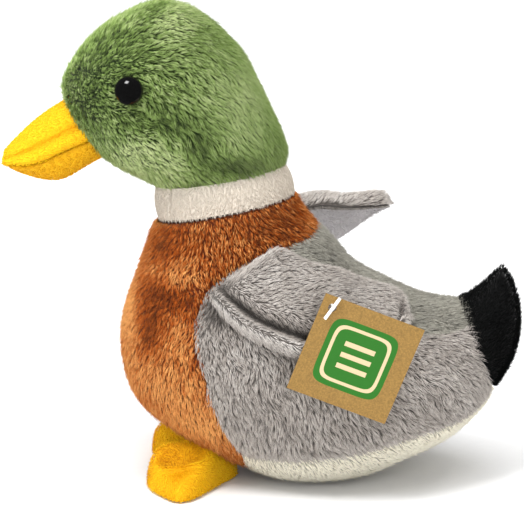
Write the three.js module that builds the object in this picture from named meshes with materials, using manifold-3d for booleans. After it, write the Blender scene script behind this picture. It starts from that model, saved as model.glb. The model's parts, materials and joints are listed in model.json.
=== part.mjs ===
// A seated plush mallard drake, sewn from cloth panels round loose stuffing. Millimetres, +Z up.
// It faces -Y and its left side is +X. The origin is in the middle of the flat of its belly.
import * as THREE from 'three';
import { mergeVertices } from 'three/addons/utils/BufferGeometryUtils.js';
import Module from 'manifold-3d';

const wasm = await Module();
wasm.setup();

// Cloth, stuffing and the gaps between pieces
const coverThickness = 3;
const seamGap = 0.4;
const layerGap = 0.6;
const fillGap = 1.8;
const seatGap = 0.35;

// The flat that it sits on: how deep it is cut, and how far the belly's round flattens above it
const restDepth = 0.5;
const restSoftness = 2;

// Overall widths across the two sides
const bodyWidth = 100;
const headWidth = 69.6;
const sectionSquareness = 2.15;

// The body is a bent sleeve. Its sections fan out round a bend centre above the back.
// Each row: angle of the section down from the front, distances to the back and the belly, share of width.
const bendCentre = { y: 34, z: 114 };
const bodyRows = [
  [10.8, 39.8, 93, 0.53],
  [20, 38.5, 104.6, 0.62],
  [30, 37, 121.2, 0.76],
  [40, 36, 130.6, 0.88],
  [50, 36.2, 129.3, 0.95],
  [60, 38, 127, 0.98],
  [70, 39.3, 125.4, 1],
  [80, 40.8, 118.8, 0.96],
  [90, 43.7, 108.8, 0.9],
  [100, 47.6, 101.8, 0.8],
  [108, 50.7, 94.8, 0.66],
  [115, 52.4, 87.6, 0.5],
  [122, 51.8, 81, 0.34],
  [130, 50.7, 69.7, 0.19],
  [135, 50.4, 59.7, 0.092],
  [137, 51.6, 51.6, 0],
];

// The head is a stack of sections that rise from the collar, tilted up towards the back.
// Each row: height, reach to the face, reach to the nape, share of the width.
const headBase = { y: -33.5, z: 112.5 };
const headTilt = 9.8;
const headRows = [
  [0, 24.9, 25.1, 0.73],
  [5, 31.6, 26.4, 0.82],
  [12, 40.2, 25.5, 0.905],
  [22, 47.2, 22.9, 0.977],
  [33, 51, 19.8, 1],
  [43, 51.4, 16.3, 0.963],
  [52, 45.1, 10.6, 0.833],
  [59, 36.7, 4.6, 0.647],
  [64, 26.2, -2, 0.402],
  [67.1, 12.5, -12.5, 0],
];

// Seams, as angles along the body against turns round it from the middle of the back to the belly
const breastSeam = [[0, 31.5], [20, 31.5], [45, 28], [68, 25.6], [95, 27.5], [103, 35], [107, 41],
  [118, 48.5], [130, 54.3], [141, 59], [180, 63]];
const bellySeam = [[59, 141], [65, 129], [71.5, 121], [81, 117.5], [90, 120], [99.5, 125], [106, 137],
  [113, 146]];
const backSeamTurn = 46;
const tailSeamAngle = 113.6;
const tailLiningEnd = 131;

// Eyes: glossy domes on shanks, each locked by a washer inside the head
const eyeDiameter = 10.4;
const eyeDomeHeight = 4;
const eyeShankDiameter = 3;
const washerDiameter = 9;
const washerThickness = 1.2;
const shankBeyondWasher = 1.5;
// The back of the dome is dished by as much as the head's round rises under it, inside a thin rim.
const eyeDish = 0.6;
const eyeRim = { share: 0.93, drop: 0.55 };
const eyeHeightAngle = { height: 39.3, turn: 101.5 };

// Bill, from the head's base: place along, heights of top, mouth and underside, and half width
const billRows = [
  [-34.5, 40.5, 17, 8.5, 11],
  [-44.5, 34.8, 14, 4.5, 13],
  [-56.5, 27.8, 9.1, -2.3, 14.3],
  [-63.5, 23.5, 5.9, -2.8, 15],
  [-69.5, 18.8, 4.5, -1.2, 15],
  [-74.5, 14, 4.3, 0.7, 13],
  [-78, 10.4, 4.5, 2.8, 9.4],
  [-79.7, 8.3, 5.1, 4, 5.5],
];
const billUpperProfile = [[0, 0], [0.78, 0], [0.97, 0.06], [1, 0.2], [0.95, 0.33], [0.83, 0.37],
  [0.78, 0.45], [0.7, 0.66], [0.5, 0.87], [0.25, 0.97], [0, 1]];
const billLowerShare = 0.9;

// Wings: cloth outside, a smooth lining inside, laid on the side of the body
// Each row: angle and turn on the body of the upper edge, then of the lower edge, from root to tip
const wingRows = [
  [26.6, 56.5, 28.6, 94],
  [33.5, 48, 36, 88.5],
  [43, 40.5, 46.5, 83],
  [55, 31.5, 58.5, 78],
  [69, 26.5, 70.5, 72.5],
  [82, 26.5, 81.5, 62],
  [90.5, 35, 90, 45],
];
const wingLift = 1;
const liningThickness = 1.2;
const liningInset = 0.035;
const liningStart = 0.1;
const rootStandOff = 0.3;
const wingEdge = 1.3;
const wingSwell = 4.4;
// How far in from each edge the swell reaches its full height, as shares of the wing's length and width
const wingTaper = { root: 0.22, tip: 0.12, upper: 0.25, lower: 0.1 };
// The rolled rim along the lower edge and the groove above it, placed as shares of the wing's width
const wingRim = { at: 0.93, groove: 0.84, width: 0.05, height: 1.8, depth: 0.45, root: 0.3, tip: 0.2 };
// How the limp right wing stands: open, and twisted within a length from its root
const wingOpenAtRest = 53;
const wingTwist = { turn: 29, length: 40 };
// How much the hinge line dips to the rear below the root seam
const hingeDrop = 0.1;

// Feet: padded webs that lie on the floor, stitched at the heel, each with its own sole
const footOutline = [[10, -27], [11, -42], [13.5, -56.5], [20.5, -60.5], [30, -59], [39.5, -54.5],
  [46.5, -48.5], [43, -42.5], [33, -37.5], [22, -32]];
const footCentre = [27, -46.5];
const footInnerHeight = 18;
const footOuterHeight = 11.5;
const footDimple = 3.5;
const footSideHeight = 2;
const footRoundness = 3.2;
const soleThickness = 1.5;

// Hang tag on a plastic fastener through the wing
const tagSide = 37;
const tagThickness = 0.8;
const tagHoleDiameter = 3;
const tagHoleInset = 4;
const tagTurn = -21.4;
const tagLean = -5;
const tagCentre = { y: 14.6, up: 60.6 };
const fastenerBar = { length: 9, diameter: 1.2, turn: 55 };
const fastenerStem = 0.8;
// How deep the inner bar lies in the wing's padding
const innerBarShare = 0.32;

// Bag of plastic pellets low in the body
const pelletBag = { length: 46, width: 40, height: 15, y: 0, flatness: 0.75 };

const radians = (degrees) => degrees * Math.PI / 180;
const clamp = (x, low, high) => Math.min(Math.max(x, low), high);
const mix = (a, b, share) => a + (b - a) * share;

// A smooth value through [place, value] pairs, with slopes from each point's neighbours.
function along(pairs, place) {
  const last = pairs.length - 1;
  const x = clamp(place, pairs[0][0], pairs[last][0]);
  let i = 0;
  while (i < last - 1 && x > pairs[i + 1][0]) i++;
  const slope = (k) => {
    const a = pairs[Math.max(k - 1, 0)];
    const b = pairs[Math.min(k + 1, last)];
    return (b[1] - a[1]) / (b[0] - a[0]);
  };
  const [x0, y0] = pairs[i];
  const [x1, y1] = pairs[i + 1];
  const wide = x1 - x0;
  const f = (x - x0) / wide;
  const rise = (2 * f - 3) * f * f + 1;
  return rise * y0 + (1 - rise) * y1
    + wide * f * (1 - f) * ((1 - f) * slope(i) - f * slope(i + 1));
}

// Catmull-Rom through whole rows at t from 0 to the last row. With a closed end, the row past it
// is the last but one turned over, so that the surface runs smoothly over its pole.
function rowAt(rows, t, turnOver) {
  const last = rows.length - 1;
  const first = rows[0].map((value, k) => 2 * value - rows[1][k]);
  const past = rows[last].map((value, k) => 2 * value - rows[last - 1][k]);
  const beyond = turnOver ? turnOver(rows[last - 1]) : past;
  const pick = (i) => (i < 0 ? first : i > last ? beyond : rows[i]);
  const i = clamp(Math.floor(t), 0, last - 1);
  const f = t - i;
  const [a, b, c, d] = [pick(i - 1), pick(i), pick(i + 1), pick(i + 2)];
  return b.map((value, k) => 0.5 * (2 * value + (c[k] - a[k]) * f
    + (2 * a[k] - 5 * value + 4 * c[k] - d[k]) * f * f + (3 * value - a[k] - 3 * c[k] + d[k]) * f * f * f));
}

// A point of a rounded section: its centre, the way its front faces, half its depth and half its width.
function sectionPoint(y, z, front, deep, half, turn) {
  const bend = (x) => Math.sign(x) * Math.abs(x) ** (2 / sectionSquareness);
  const c = bend(Math.cos(turn));
  return new THREE.Vector3(half * bend(Math.sin(turn)), y - front.y * deep * c, z - front.z * deep * c);
}

function bodyRaw(t, turn) {
  const [angle, near, far, share] = rowAt(bodyRows, t, ([a, n, f, s]) => [a, f, n, -s]);
  const front = { y: -Math.cos(radians(angle)), z: -Math.sin(radians(angle)) };
  const middle = (near + far) / 2;
  return sectionPoint(bendCentre.y + front.y * middle, bendCentre.z + front.z * middle, front,
    (far - near) / 2, share * bodyWidth / 2, turn);
}

function headRaw(t, turn) {
  const [height, face, nape, share] = rowAt(headRows, t, ([h, f, n, s]) => [h, -n, -f, -s]);
  const tilt = radians(headTilt);
  const front = { y: -Math.cos(tilt), z: -Math.sin(tilt) };
  const middle = (face - nape) / 2;
  return sectionPoint(headBase.y - Math.sin(tilt) * height + front.y * middle,
    headBase.z + Math.cos(tilt) * height + front.z * middle, front, (face + nape) / 2,
    share * headWidth / 2, turn);
}

// The neck runs straight from the body's first section, at 0, to the head's, at 1.
const neckRaw = (t, turn) => bodyRaw(0, turn).lerp(headRaw(0, turn), t);

const bodySleeve = { raw: bodyRaw, rows: bodyRows, last: bodyRows.length - 1, outward: -1, rests: true };
const headSleeve = { raw: headRaw, rows: headRows, last: headRows.length - 1, outward: 1, rests: false };
const neckSleeve = { raw: neckRaw, last: 1, outward: 1, rests: false };

// A sleeve's surface moved out by lift, and the belly's round settled on the floor.
function surface(sleeve, t, turn, lift = 0) {
  const step = 1e-3;
  const at = clamp(t, step, sleeve.last - 0.04);
  const up = sleeve.raw(at + step, turn).sub(sleeve.raw(at - step, turn));
  const round = sleeve.raw(at, turn + step).sub(sleeve.raw(at, turn - step));
  const normal = up.cross(round).normalize().multiplyScalar(sleeve.outward);
  const point = sleeve.raw(t, turn).addScaledVector(normal, lift);
  if (sleeve.rests) {
    const floor = -restDepth - lift;
    const above = (point.z - floor) / restSoftness;
    if (above < 20) point.z = floor + restSoftness * Math.log1p(Math.exp(above));
  }
  return point;
}

// The place along a sleeve where its rows' first number has a value.
function placeOf(sleeve, value) {
  let low = 0;
  let high = sleeve.last;
  for (let i = 0; i < 40; i++) {
    const middle = (low + high) / 2;
    if (rowAt(sleeve.rows, middle)[0] < value) low = middle;
    else high = middle;
  }
  return (low + high) / 2;
}

const onBody = (angle, turn, lift) => surface(bodySleeve, placeOf(bodySleeve, angle), radians(turn), lift);

// A closed mesh from points and triangles: points that meet are joined, triangles with no area go,
// and the whole faces out.
function closedMesh(points, triangles) {
  const flat = new Float32Array(points.flatMap((p) => [p.x, p.y, p.z]));
  let geometry = new THREE.BufferGeometry();
  geometry.setAttribute('position', new THREE.BufferAttribute(flat, 3));
  geometry.setIndex(triangles.flat());
  geometry = mergeVertices(geometry, 1e-3);
  const index = Array.from(geometry.index.array);
  const place = geometry.attributes.position;
  const corner = (i) => new THREE.Vector3().fromBufferAttribute(place, i);
  const kept = [];
  let volume = 0;
  for (let i = 0; i < index.length; i += 3) {
    const [a, b, c] = index.slice(i, i + 3);
    if (a === b || b === c || c === a) continue;
    kept.push([a, b, c]);
    volume += corner(a).dot(corner(b).cross(corner(c)));
  }
  geometry.setIndex((volume > 0 ? kept : kept.map(([a, b, c]) => [a, c, b])).flat());
  return geometry;
}

// A panel of cloth: two grids of points, outer and inner, joined round their edges.
function panel(across, down, outer, inner) {
  const points = [];
  const triangles = [];
  const grid = (sheet) => (i, j) => sheet * (across + 1) * (down + 1) + i * (down + 1) + j;
  for (const face of [outer, inner]) {
    for (let i = 0; i <= across; i++) {
      for (let j = 0; j <= down; j++) points.push(face(i / across, j / down));
    }
  }
  const quad = (a, b, c, d) => triangles.push([a, b, c], [a, c, d]);
  const [top, under] = [grid(0), grid(1)];
  for (let i = 0; i < across; i++) {
    for (let j = 0; j < down; j++) {
      quad(top(i, j), top(i + 1, j), top(i + 1, j + 1), top(i, j + 1));
      quad(under(i, j), under(i, j + 1), under(i + 1, j + 1), under(i + 1, j));
    }
    quad(top(i, 0), under(i, 0), under(i + 1, 0), top(i + 1, 0));
    quad(top(i + 1, down), under(i + 1, down), under(i, down), top(i, down));
  }
  for (let j = 0; j < down; j++) {
    quad(top(0, j + 1), under(0, j + 1), under(0, j), top(0, j));
    quad(top(across, j), under(across, j), under(across, j + 1), top(across, j + 1));
  }
  return closedMesh(points, triangles);
}

// A closed skin over rings of points, with a fan over each end.
function skin(rings) {
  const count = rings[0].length;
  const points = rings.flat();
  const triangles = [];
  const middle = (ring) => ring.reduce((sum, p) => sum.add(p), new THREE.Vector3()).divideScalar(count);
  const ends = [points.push(middle(rings[0])) - 1, points.push(middle(rings[rings.length - 1])) - 1];
  for (let i = 0; i < count; i++) {
    const next = (i + 1) % count;
    for (let k = 0; k < rings.length - 1; k++) {
      const [a, b, c, d] = [k * count + i, k * count + next, (k + 1) * count + next, (k + 1) * count + i];
      triangles.push([a, b, c], [a, c, d]);
    }
    const far = (rings.length - 1) * count;
    triangles.push([ends[0], next, i], [ends[1], far + i, far + next]);
  }
  return closedMesh(points, triangles);
}

// Cutting and joining, on meshes that hold only positions
function solid(geometry) {
  let plain = geometry.index ? geometry.clone() : mergeVertices(geometry.clone());
  for (const name of Object.keys(plain.attributes)) {
    if (name !== 'position') plain.deleteAttribute(name);
  }
  plain = mergeVertices(plain, 1e-4);
  return new wasm.Manifold(new wasm.Mesh({
    numProp: 3,
    vertProperties: new Float32Array(plain.attributes.position.array),
    triVerts: new Uint32Array(plain.index.array),
  }));
}

function meshOf(body) {
  const { vertProperties, triVerts } = body.getMesh();
  const geometry = new THREE.BufferGeometry();
  geometry.setAttribute('position', new THREE.BufferAttribute(vertProperties, 3));
  geometry.setIndex(new THREE.BufferAttribute(triVerts, 1));
  return geometry;
}

// The same shape as one clean mesh
const cleaned = (geometry) => meshOf(solid(geometry));
const cut = (geometry, ...tools) => meshOf(tools.reduce((left, tool) => left.subtract(solid(tool)),
  solid(geometry)));
const join = (geometry, ...more) => meshOf(more.reduce((sum, one) => sum.add(solid(one)), solid(geometry)));

// The mirror image of a piece across the middle of the duck, still facing out
function mirrored(geometry) {
  const copy = geometry.clone();
  copy.scale(-1, 1, 1);
  const index = Array.from(copy.index.array);
  for (let i = 0; i < index.length; i += 3) [index[i + 1], index[i + 2]] = [index[i + 2], index[i + 1]];
  copy.setIndex(index);
  return copy;
}

// A shape turned about a line through a point, from nothing there to the full turn at a length along it
function twisted(geometry, from, line, { turn, length }) {
  const copy = geometry.clone();
  const place = copy.attributes.position;
  for (let i = 0; i < place.count; i++) {
    const point = new THREE.Vector3().fromBufferAttribute(place, i).sub(from);
    const share = THREE.MathUtils.smoothstep(point.dot(line), 0, length);
    point.applyAxisAngle(line, radians(turn) * share).add(from);
    place.setXYZ(i, point.x, point.y, point.z);
  }
  return copy;
}

// Finishes
const finish = (color, roughness = 0.95) => new THREE.MeshStandardMaterial(
  { color, roughness, metalness: 0 });
const greenPile = finish('#6f9a55');
const whitePile = finish('#e4e0da');
const brownPile = finish('#b5692a');
const greyPile = finish('#a8a4a0');
const backPile = finish('#a5a79a');
const creamPile = finish('#e8e4d6');
const blackPile = finish('#0c0f0f');
const yellowPile = finish('#f7c21a');
const orangePile = finish('#e5a313');
const liningCloth = finish('#c3c0c4', 0.8);
const eyePlastic = finish('#090909', 0.08);
const washerPlastic = finish('#e9e9e4', 0.5);
const fibreFill = finish('#f4f2ee');
const bagCloth = finish('#d9d6cf');
const kraftCard = finish('#b98a4e', 0.85);
const fastenerPlastic = finish('#f2f2f0', 0.4);

const duck = new THREE.Group();

function add(name, geometry, material, parent = duck) {
  const mesh = new THREE.Mesh(geometry, material);
  mesh.name = name;
  parent.add(mesh);
  return mesh;
}

// The left half of a panel stands off the middle seam by half a gap.
const offMiddle = (point) => {
  point.x = Math.max(point.x, 0) + seamGap / 2;
  return point;
};

// Body covers
// A panel of the body between two angles along it and two turns round it, each given as a function.
function bodyPanel(across, down, place, middleSeam = false) {
  const face = (lift) => (u, v) => {
    const { angle, turn } = place(u, v);
    const point = onBody(angle, turn, lift);
    return middleSeam ? offMiddle(point) : point;
  };
  return panel(across, down, face(0), face(-coverThickness));
}

// Half a seam gap as an angle along the body, and as a turn round it at about half the body's width out
const gapAngle = seamGap / 2 / radians(1) / ((bodyRows[4][1] + bodyRows[4][2]) / 2);
const gapTurn = 1.15 * seamGap / 2 / radians(1) / (bodyWidth / 2);
const pastSeam = gapAngle * 2;

const neckAngle = bodyRows[0][0];
// Panels that share a seam have their points side by side along it, so these counts are shared too.
const steps = { length: 13, back: 4, side: 9, belly: 4, front: 9 };
// Two seams that bend towards each other are brought together by going half way each time.
const rounds = 30;
// Where the breast seam meets the belly seam
let cornerTurn = bellySeam[0][1];
for (let i = 0; i < rounds; i++) {
  cornerTurn = mix(cornerTurn, along(bellySeam, along(breastSeam, cornerTurn)), 0.5);
}
const breastDown = steps.back + steps.side + steps.belly;
const breastTurns = [[0, 0], [steps.back, backSeamTurn], [steps.back + steps.side, cornerTurn],
  [breastDown, 180]];
function breastTurn(v) {
  const place = v * breastDown;
  const k = breastTurns.findIndex(([end], i) => i > 0 && place <= end + 1e-9);
  const [[start, from], [end, to]] = [breastTurns[k - 1], breastTurns[k]];
  return mix(from, to, (place - start) / (end - start));
}
const breast = bodyPanel(steps.front, breastDown, (u, v) => {
  const turn = breastTurn(v);
  return { turn, angle: mix(neckAngle + gapAngle, along(breastSeam, turn) - pastSeam, u) };
}, true);
add('breast_cover_left', breast, brownPile);
add('breast_cover_right', mirrored(breast), brownPile);

const back = bodyPanel(steps.length, 2 * steps.back, (u, v) => {
  const turn = mix(-backSeamTurn + gapTurn, backSeamTurn - gapTurn, v);
  const angle = mix(along(breastSeam, Math.abs(turn)) + pastSeam, tailSeamAngle - pastSeam, u);
  return { turn, angle };
});
add('back_cover', back, backPile);

// The side runs from the back seam down to the belly seam, and from the breast seam back to the tail.
const side = bodyPanel(steps.length, steps.side, (u, v) => {
  let turn = mix(backSeamTurn, cornerTurn, v);
  let angle = 0;
  for (let i = 0; i < rounds; i++) {
    angle = mix(along(breastSeam, turn) + pastSeam, tailSeamAngle - pastSeam, u);
    turn = mix(turn, mix(backSeamTurn + gapTurn, along(bellySeam, angle) - gapTurn, v), 0.5);
  }
  return { turn, angle };
});
add('side_cover_left', side, greyPile);
add('side_cover_right', mirrored(side), greyPile);

const floorDepth = 20 * restDepth;
const floorBox = new THREE.BoxGeometry(4 * bodyWidth, 4 * bodyWidth, floorDepth)
  .translate(0, 0, -floorDepth / 2);
const belly = cut(bodyPanel(steps.length, 2 * steps.belly, (u, v) => {
  let turn = mix(cornerTurn, 360 - cornerTurn, v);
  let angle = 0;
  for (let i = 0; i < rounds; i++) {
    angle = mix(along(breastSeam, 180 - Math.abs(180 - turn)) + pastSeam, tailSeamAngle - pastSeam, u);
    const edge = along(bellySeam, angle) + gapTurn;
    turn = mix(turn, mix(edge, 360 - edge, v), 0.5);
  }
  return { turn, angle };
}), floorBox);
add('belly_cover', belly, creamPile);

const tailTip = bodyRows[bodyRows.length - 1][0];
const tail = panel(6, 10,
  (u, v) => offMiddle(onBody(mix(tailSeamAngle + pastSeam, tailTip, u), 180 * v, 0)),
  (u, v) => offMiddle(onBody(mix(tailSeamAngle + pastSeam, tailLiningEnd, u), 180 * v, -coverThickness)));
add('tail_cover_left', tail, blackPile);
add('tail_cover_right', mirrored(tail), blackPile);

// Collar: a band round the neck between the head and the body
const collarHeight = neckRaw(0, Math.PI / 2).distanceTo(neckRaw(1, Math.PI / 2));
const collarGap = seamGap / collarHeight;
const collar = panel(2, 28,
  (u, v) => surface(neckSleeve, mix(collarGap, 1 - collarGap, u), 2 * Math.PI * v),
  (u, v) => surface(neckSleeve, mix(collarGap, 1 - collarGap, u), 2 * Math.PI * v, -coverThickness));
add('collar_band', collar, whitePile);

// Head
const headTop = headSleeve.last;
const headFace = (lift) => (u, v) => offMiddle(surface(headSleeve, u * headTop, Math.PI * v, lift));
const eyeAt = placeOf(headSleeve, eyeHeightAngle.height);
const eyeSeat = surface(headSleeve, eyeAt, radians(eyeHeightAngle.turn), seatGap);
const eyeInside = surface(headSleeve, eyeAt, radians(eyeHeightAngle.turn), -1);
const eyeAxis = eyeSeat.clone().sub(eyeInside).normalize();

// A turned shape with its axis along +Y is stood on the left eye's seat.
function atEye(geometry) {
  const facing = new THREE.Quaternion().setFromUnitVectors(new THREE.Vector3(0, 1, 0), eyeAxis);
  return geometry.applyQuaternion(facing).translate(eyeSeat.x, eyeSeat.y, eyeSeat.z);
}

const turned = (profile, sides) => new THREE.LatheGeometry(
  profile.map(([x, y]) => new THREE.Vector2(x, y)), sides);
const eyeRadius = eyeDiameter / 2;
const washerTop = -coverThickness - 2 * layerGap;
const shankEnd = washerTop - washerThickness - shankBeyondWasher;
const domeProfile = [0, 0.2, 0.4, 0.6, 0.8, 0.95, 1].map((share) => {
  const angle = share * Math.PI / 2;
  return [eyeRadius * Math.sin(angle), eyeDomeHeight * Math.cos(angle)];
});
domeProfile[0][0] = 0;
const shankRadius = eyeShankDiameter / 2;
const eyeProfile = [...domeProfile, [eyeRadius * eyeRim.share, -eyeRim.drop], [shankRadius, eyeDish],
  [shankRadius, shankEnd], [0, shankEnd]].reverse();
const disc = (diameter, from, to, sides) => atEye(new THREE.CylinderGeometry(diameter / 2, diameter / 2,
  to - from, sides).translate(0, (from + to) / 2, 0));
const shankHole = (clearance) => disc(eyeShankDiameter + 2 * clearance, shankEnd - 10 * clearance,
  eyeDomeHeight, 12);
const washerRoom = disc(washerDiameter + 2 * layerGap, washerTop - washerThickness - 5 * layerGap,
  washerTop + 5 * layerGap, 16);

const headCover = cut(panel(12, 14, headFace(0), headFace(-coverThickness)), shankHole(seatGap));
add('head_cover_left', headCover, greenPile);
add('head_cover_right', mirrored(headCover), greenPile);

const eye = cleaned(atEye(turned(eyeProfile, 24)));
add('eye_left', eye, eyePlastic);
add('eye_right', mirrored(eye), eyePlastic);
const washerFit = 0.14;
const washer = cut(disc(washerDiameter, washerTop - washerThickness, washerTop, 20), shankHole(washerFit));
add('eye_washer_left', washer, washerPlastic);
add('eye_washer_right', mirrored(washer), washerPlastic);

// Stuffing: one wad fills the head, the other the body up through the collar
const ringOf = (sleeve, t, lift, count) => Array.from({ length: count },
  (_, i) => surface(sleeve, t, 2 * Math.PI * i / count, lift));
const ringsOf = (sleeve, from, to, rings, lift, count = 24) => Array.from({ length: rings },
  (_, i) => ringOf(sleeve, mix(from, to, i / (rings - 1)), lift, count));
const fillLift = -coverThickness - fillGap;
const lockRoom = join(shankHole(layerGap), washerRoom);
const headFill = cut(skin(ringsOf(headSleeve, 0.3, 8.3, 13, fillLift)), lockRoom, mirrored(lockRoom));
add('head_stuffing', headFill, fibreFill);

const bagFloor = coverThickness + layerGap;
// The bag's outline from its lower pole to its upper one
const bagProfile = (grow) => Array.from({ length: 9 }, (_, i) => {
  const angle = Math.PI * i / 8;
  const out = (pelletBag.width / 2 + grow) * Math.sin(angle) ** pelletBag.flatness;
  return [i === 8 ? 0 : out, -(pelletBag.height / 2 + grow) * Math.cos(angle)];
});
function bagShape(grow, profile) {
  const stretch = (pelletBag.length / 2 + grow) / (pelletBag.width / 2 + grow);
  return cleaned(turned(profile, 24).rotateX(Math.PI / 2).scale(1, stretch, 1)
    .translate(0, pelletBag.y, bagFloor + pelletBag.height / 2));
}
const bag = bagShape(0, bagProfile(0));
// Its pocket in the stuffing is open below.
const pocketUpper = bagProfile(layerGap).slice(4);
const pocketDrop = pelletBag.height;
const pocketWide = pocketUpper[0][0];
const pocket = bagShape(layerGap, [[0, -pocketDrop], [pocketWide, -pocketDrop], ...pocketUpper]);

const bodyFill = cut(skin([...ringsOf(neckSleeve, 1, 0.1, 3, fillLift),
  ...ringsOf(bodySleeve, 0.3, placeOf(bodySleeve, tailLiningEnd), 17, fillLift)]), pocket);
add('body_stuffing', bodyFill, fibreFill);
add('pellet_bag', bag, bagCloth);

// Bill, cut to the round of the face
const faceTool = skin(ringsOf(headSleeve, 0.1, 8.7, 24, seatGap, 48));
const bothSides = (profile) => [...profile, ...profile.slice(1, -1).reverse().map(([x, z]) => [-x, z])];
function billHalf(profileOf) {
  const count = billRows.length - 1;
  const rings = Array.from({ length: 2 * count + 1 }, (_, i) => {
    const [y, top, mouth, under, half] = rowAt(billRows, i / 2);
    return profileOf(top, mouth, under, half)
      .map(([x, z]) => new THREE.Vector3(x, headBase.y + y, headBase.z + z));
  });
  return cut(skin(rings), faceTool);
}
const billUpper = billHalf((top, mouth, under, half) => bothSides(billUpperProfile)
  .map(([x, z]) => [x * half, mix(mouth, top, z)]));
const lowerArc = Array.from({ length: 9 }, (_, i) => Math.PI * i / 8 - Math.PI / 2);
const billLower = billHalf((top, mouth, under, half) => lowerArc.map((angle) => [
  half * billLowerShare * Math.sin(angle),
  mouth - seamGap - (mouth - under) * Math.cos(angle) ** 0.8,
]));
add('bill_upper', billUpper, yellowPile);
add('bill_lower', billLower, orangePile);

// Wings
const wingAt = (a, b, lift) => {
  const [topAngle, topTurn, lowAngle, lowTurn] = rowAt(wingRows, a * (wingRows.length - 1));
  return onBody(mix(topAngle, lowAngle, b), mix(topTurn, lowTurn, b), lift);
};
const ramp = (x, width) => Math.sin(Math.PI / 2 * clamp(x / width, 0, 1));
// The pad is thin at its edges and its root, with a rolled rim along the lower edge.
function wingPad(a, b) {
  const near = (place) => Math.exp(-(((b - place) / wingRim.width) ** 2));
  const swell = wingSwell * (1 - wingRim.depth * near(wingRim.groove));
  const body = ramp(a, wingTaper.root) * ramp(1 - a, wingTaper.tip)
    * ramp(b, wingTaper.upper) * ramp(1 - b, wingTaper.lower);
  const rim = wingRim.height * near(wingRim.at) * ramp(a, wingRim.root) * ramp(1 - a, wingRim.tip);
  return wingEdge + swell * body + rim;
}
const inside = (x, start = liningInset) => mix(start, 1 - liningInset, x);
const wingSteps = 12;
const padLift = wingLift + liningThickness + seatGap;
// At its root the cover comes down past the lining to the seam.
const coverUnder = (a) => mix(seatGap + rootStandOff, padLift, clamp(a * wingSteps, 0, 1));
const liningFace = (lift) => (a, b) => wingAt(inside(a, liningStart), inside(b), lift);
const wingLining = panel(9, 7, liningFace(wingLift + liningThickness), liningFace(wingLift));
const wingCover = panel(wingSteps, 14, (a, b) => wingAt(a, b, coverUnder(a) + wingPad(a, b)),
  (a, b) => wingAt(a, b, coverUnder(a)));

// The wing swings on its root seam. The axis touches the seam's round from outside.
const rootFront = wingAt(0, 1, seatGap);
const rootRear = wingAt(0, 0, seatGap);
const rootBulge = wingAt(0, 0.5, wingLift + rootStandOff).sub(rootFront.clone().lerp(rootRear, 0.5));
const hingeLine = rootRear.clone().sub(rootFront).normalize();
const wingAxis = hingeLine.clone().add(new THREE.Vector3(0, 0, -hingeDrop)).normalize();
rootBulge.addScaledVector(hingeLine, -rootBulge.dot(hingeLine));
const wingPivot = rootFront.clone().lerp(rootRear, 0.5).add(rootBulge);

// Hang tag: its plane clears the wing and the side, and the fastener runs square to it
const tagNormal = new THREE.Vector3(Math.cos(radians(tagLean)), 0, Math.sin(radians(tagLean)));
const tagUp = new THREE.Vector3(-tagNormal.z, 0, tagNormal.x);
function reach(geometry) {
  const place = geometry.attributes.position;
  let most = -Infinity;
  for (let i = 0; i < place.count; i++) {
    most = Math.max(most, new THREE.Vector3().fromBufferAttribute(place, i).dot(tagNormal));
  }
  return most;
}
const tagPlane = Math.max(reach(wingCover), reach(side)) + seatGap;
const tagFrame = new THREE.Matrix4().makeBasis(new THREE.Vector3(0, 1, 0), tagUp, tagNormal)
  .setPosition(tagNormal.clone().multiplyScalar(tagPlane).addScaledVector(tagUp, tagCentre.up)
    .add(new THREE.Vector3(0, tagCentre.y, 0)));
const holeFromCentre = tagSide / 2 - tagHoleInset;
const holeOnCard = new THREE.Vector2(-holeFromCentre, holeFromCentre);
const cardShape = new THREE.Shape([[-1, -1], [1, -1], [1, 1], [-1, 1]]
  .map(([x, y]) => new THREE.Vector2(x * tagSide / 2, y * tagSide / 2)));
cardShape.holes.push(new THREE.Path()
  .absarc(holeOnCard.x, holeOnCard.y, tagHoleDiameter / 2, 0, 2 * Math.PI, true));
const cardDepth = { depth: tagThickness, bevelEnabled: false, curveSegments: 10 };
const card = cleaned(new THREE.ExtrudeGeometry(cardShape, cardDepth).rotateZ(radians(tagTurn)));
card.applyMatrix4(tagFrame);

const holeInFrame = new THREE.Vector3(holeOnCard.x, holeOnCard.y, 0)
  .applyAxisAngle(new THREE.Vector3(0, 0, 1), radians(tagTurn));
const holePoint = holeInFrame.clone().applyMatrix4(tagFrame);
// How far below the card the wing's padding begins and ends at the hole
function depthToWing() {
  const ray = new THREE.Raycaster(holePoint, tagNormal.clone().negate());
  const bothFaces = new THREE.MeshBasicMaterial({ side: THREE.DoubleSide });
  const hits = ray.intersectObject(new THREE.Mesh(wingCover, bothFaces)).map((hit) => hit.distance);
  return { near: hits[0] ?? seatGap, far: hits[hits.length - 1] ?? seatGap + wingSwell };
}
const wingDepth = depthToWing();
function rodBetween(from, to, diameter) {
  const length = from.distanceTo(to);
  const rod = new THREE.CylinderGeometry(diameter / 2, diameter / 2, length, 10);
  rod.applyQuaternion(new THREE.Quaternion().setFromUnitVectors(new THREE.Vector3(0, 1, 0),
    to.clone().sub(from).normalize()));
  const middle = from.clone().lerp(to, 0.5);
  return rod.translate(middle.x, middle.y, middle.z);
}
const barTurn = radians(fastenerBar.turn);
const barLine = new THREE.Vector3(Math.cos(barTurn), Math.sin(barTurn), 0);
const innerBarDepth = mix(wingDepth.near, wingDepth.far, innerBarShare);
const outerBarHeight = tagThickness + seatGap + fastenerBar.diameter / 2;
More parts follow.
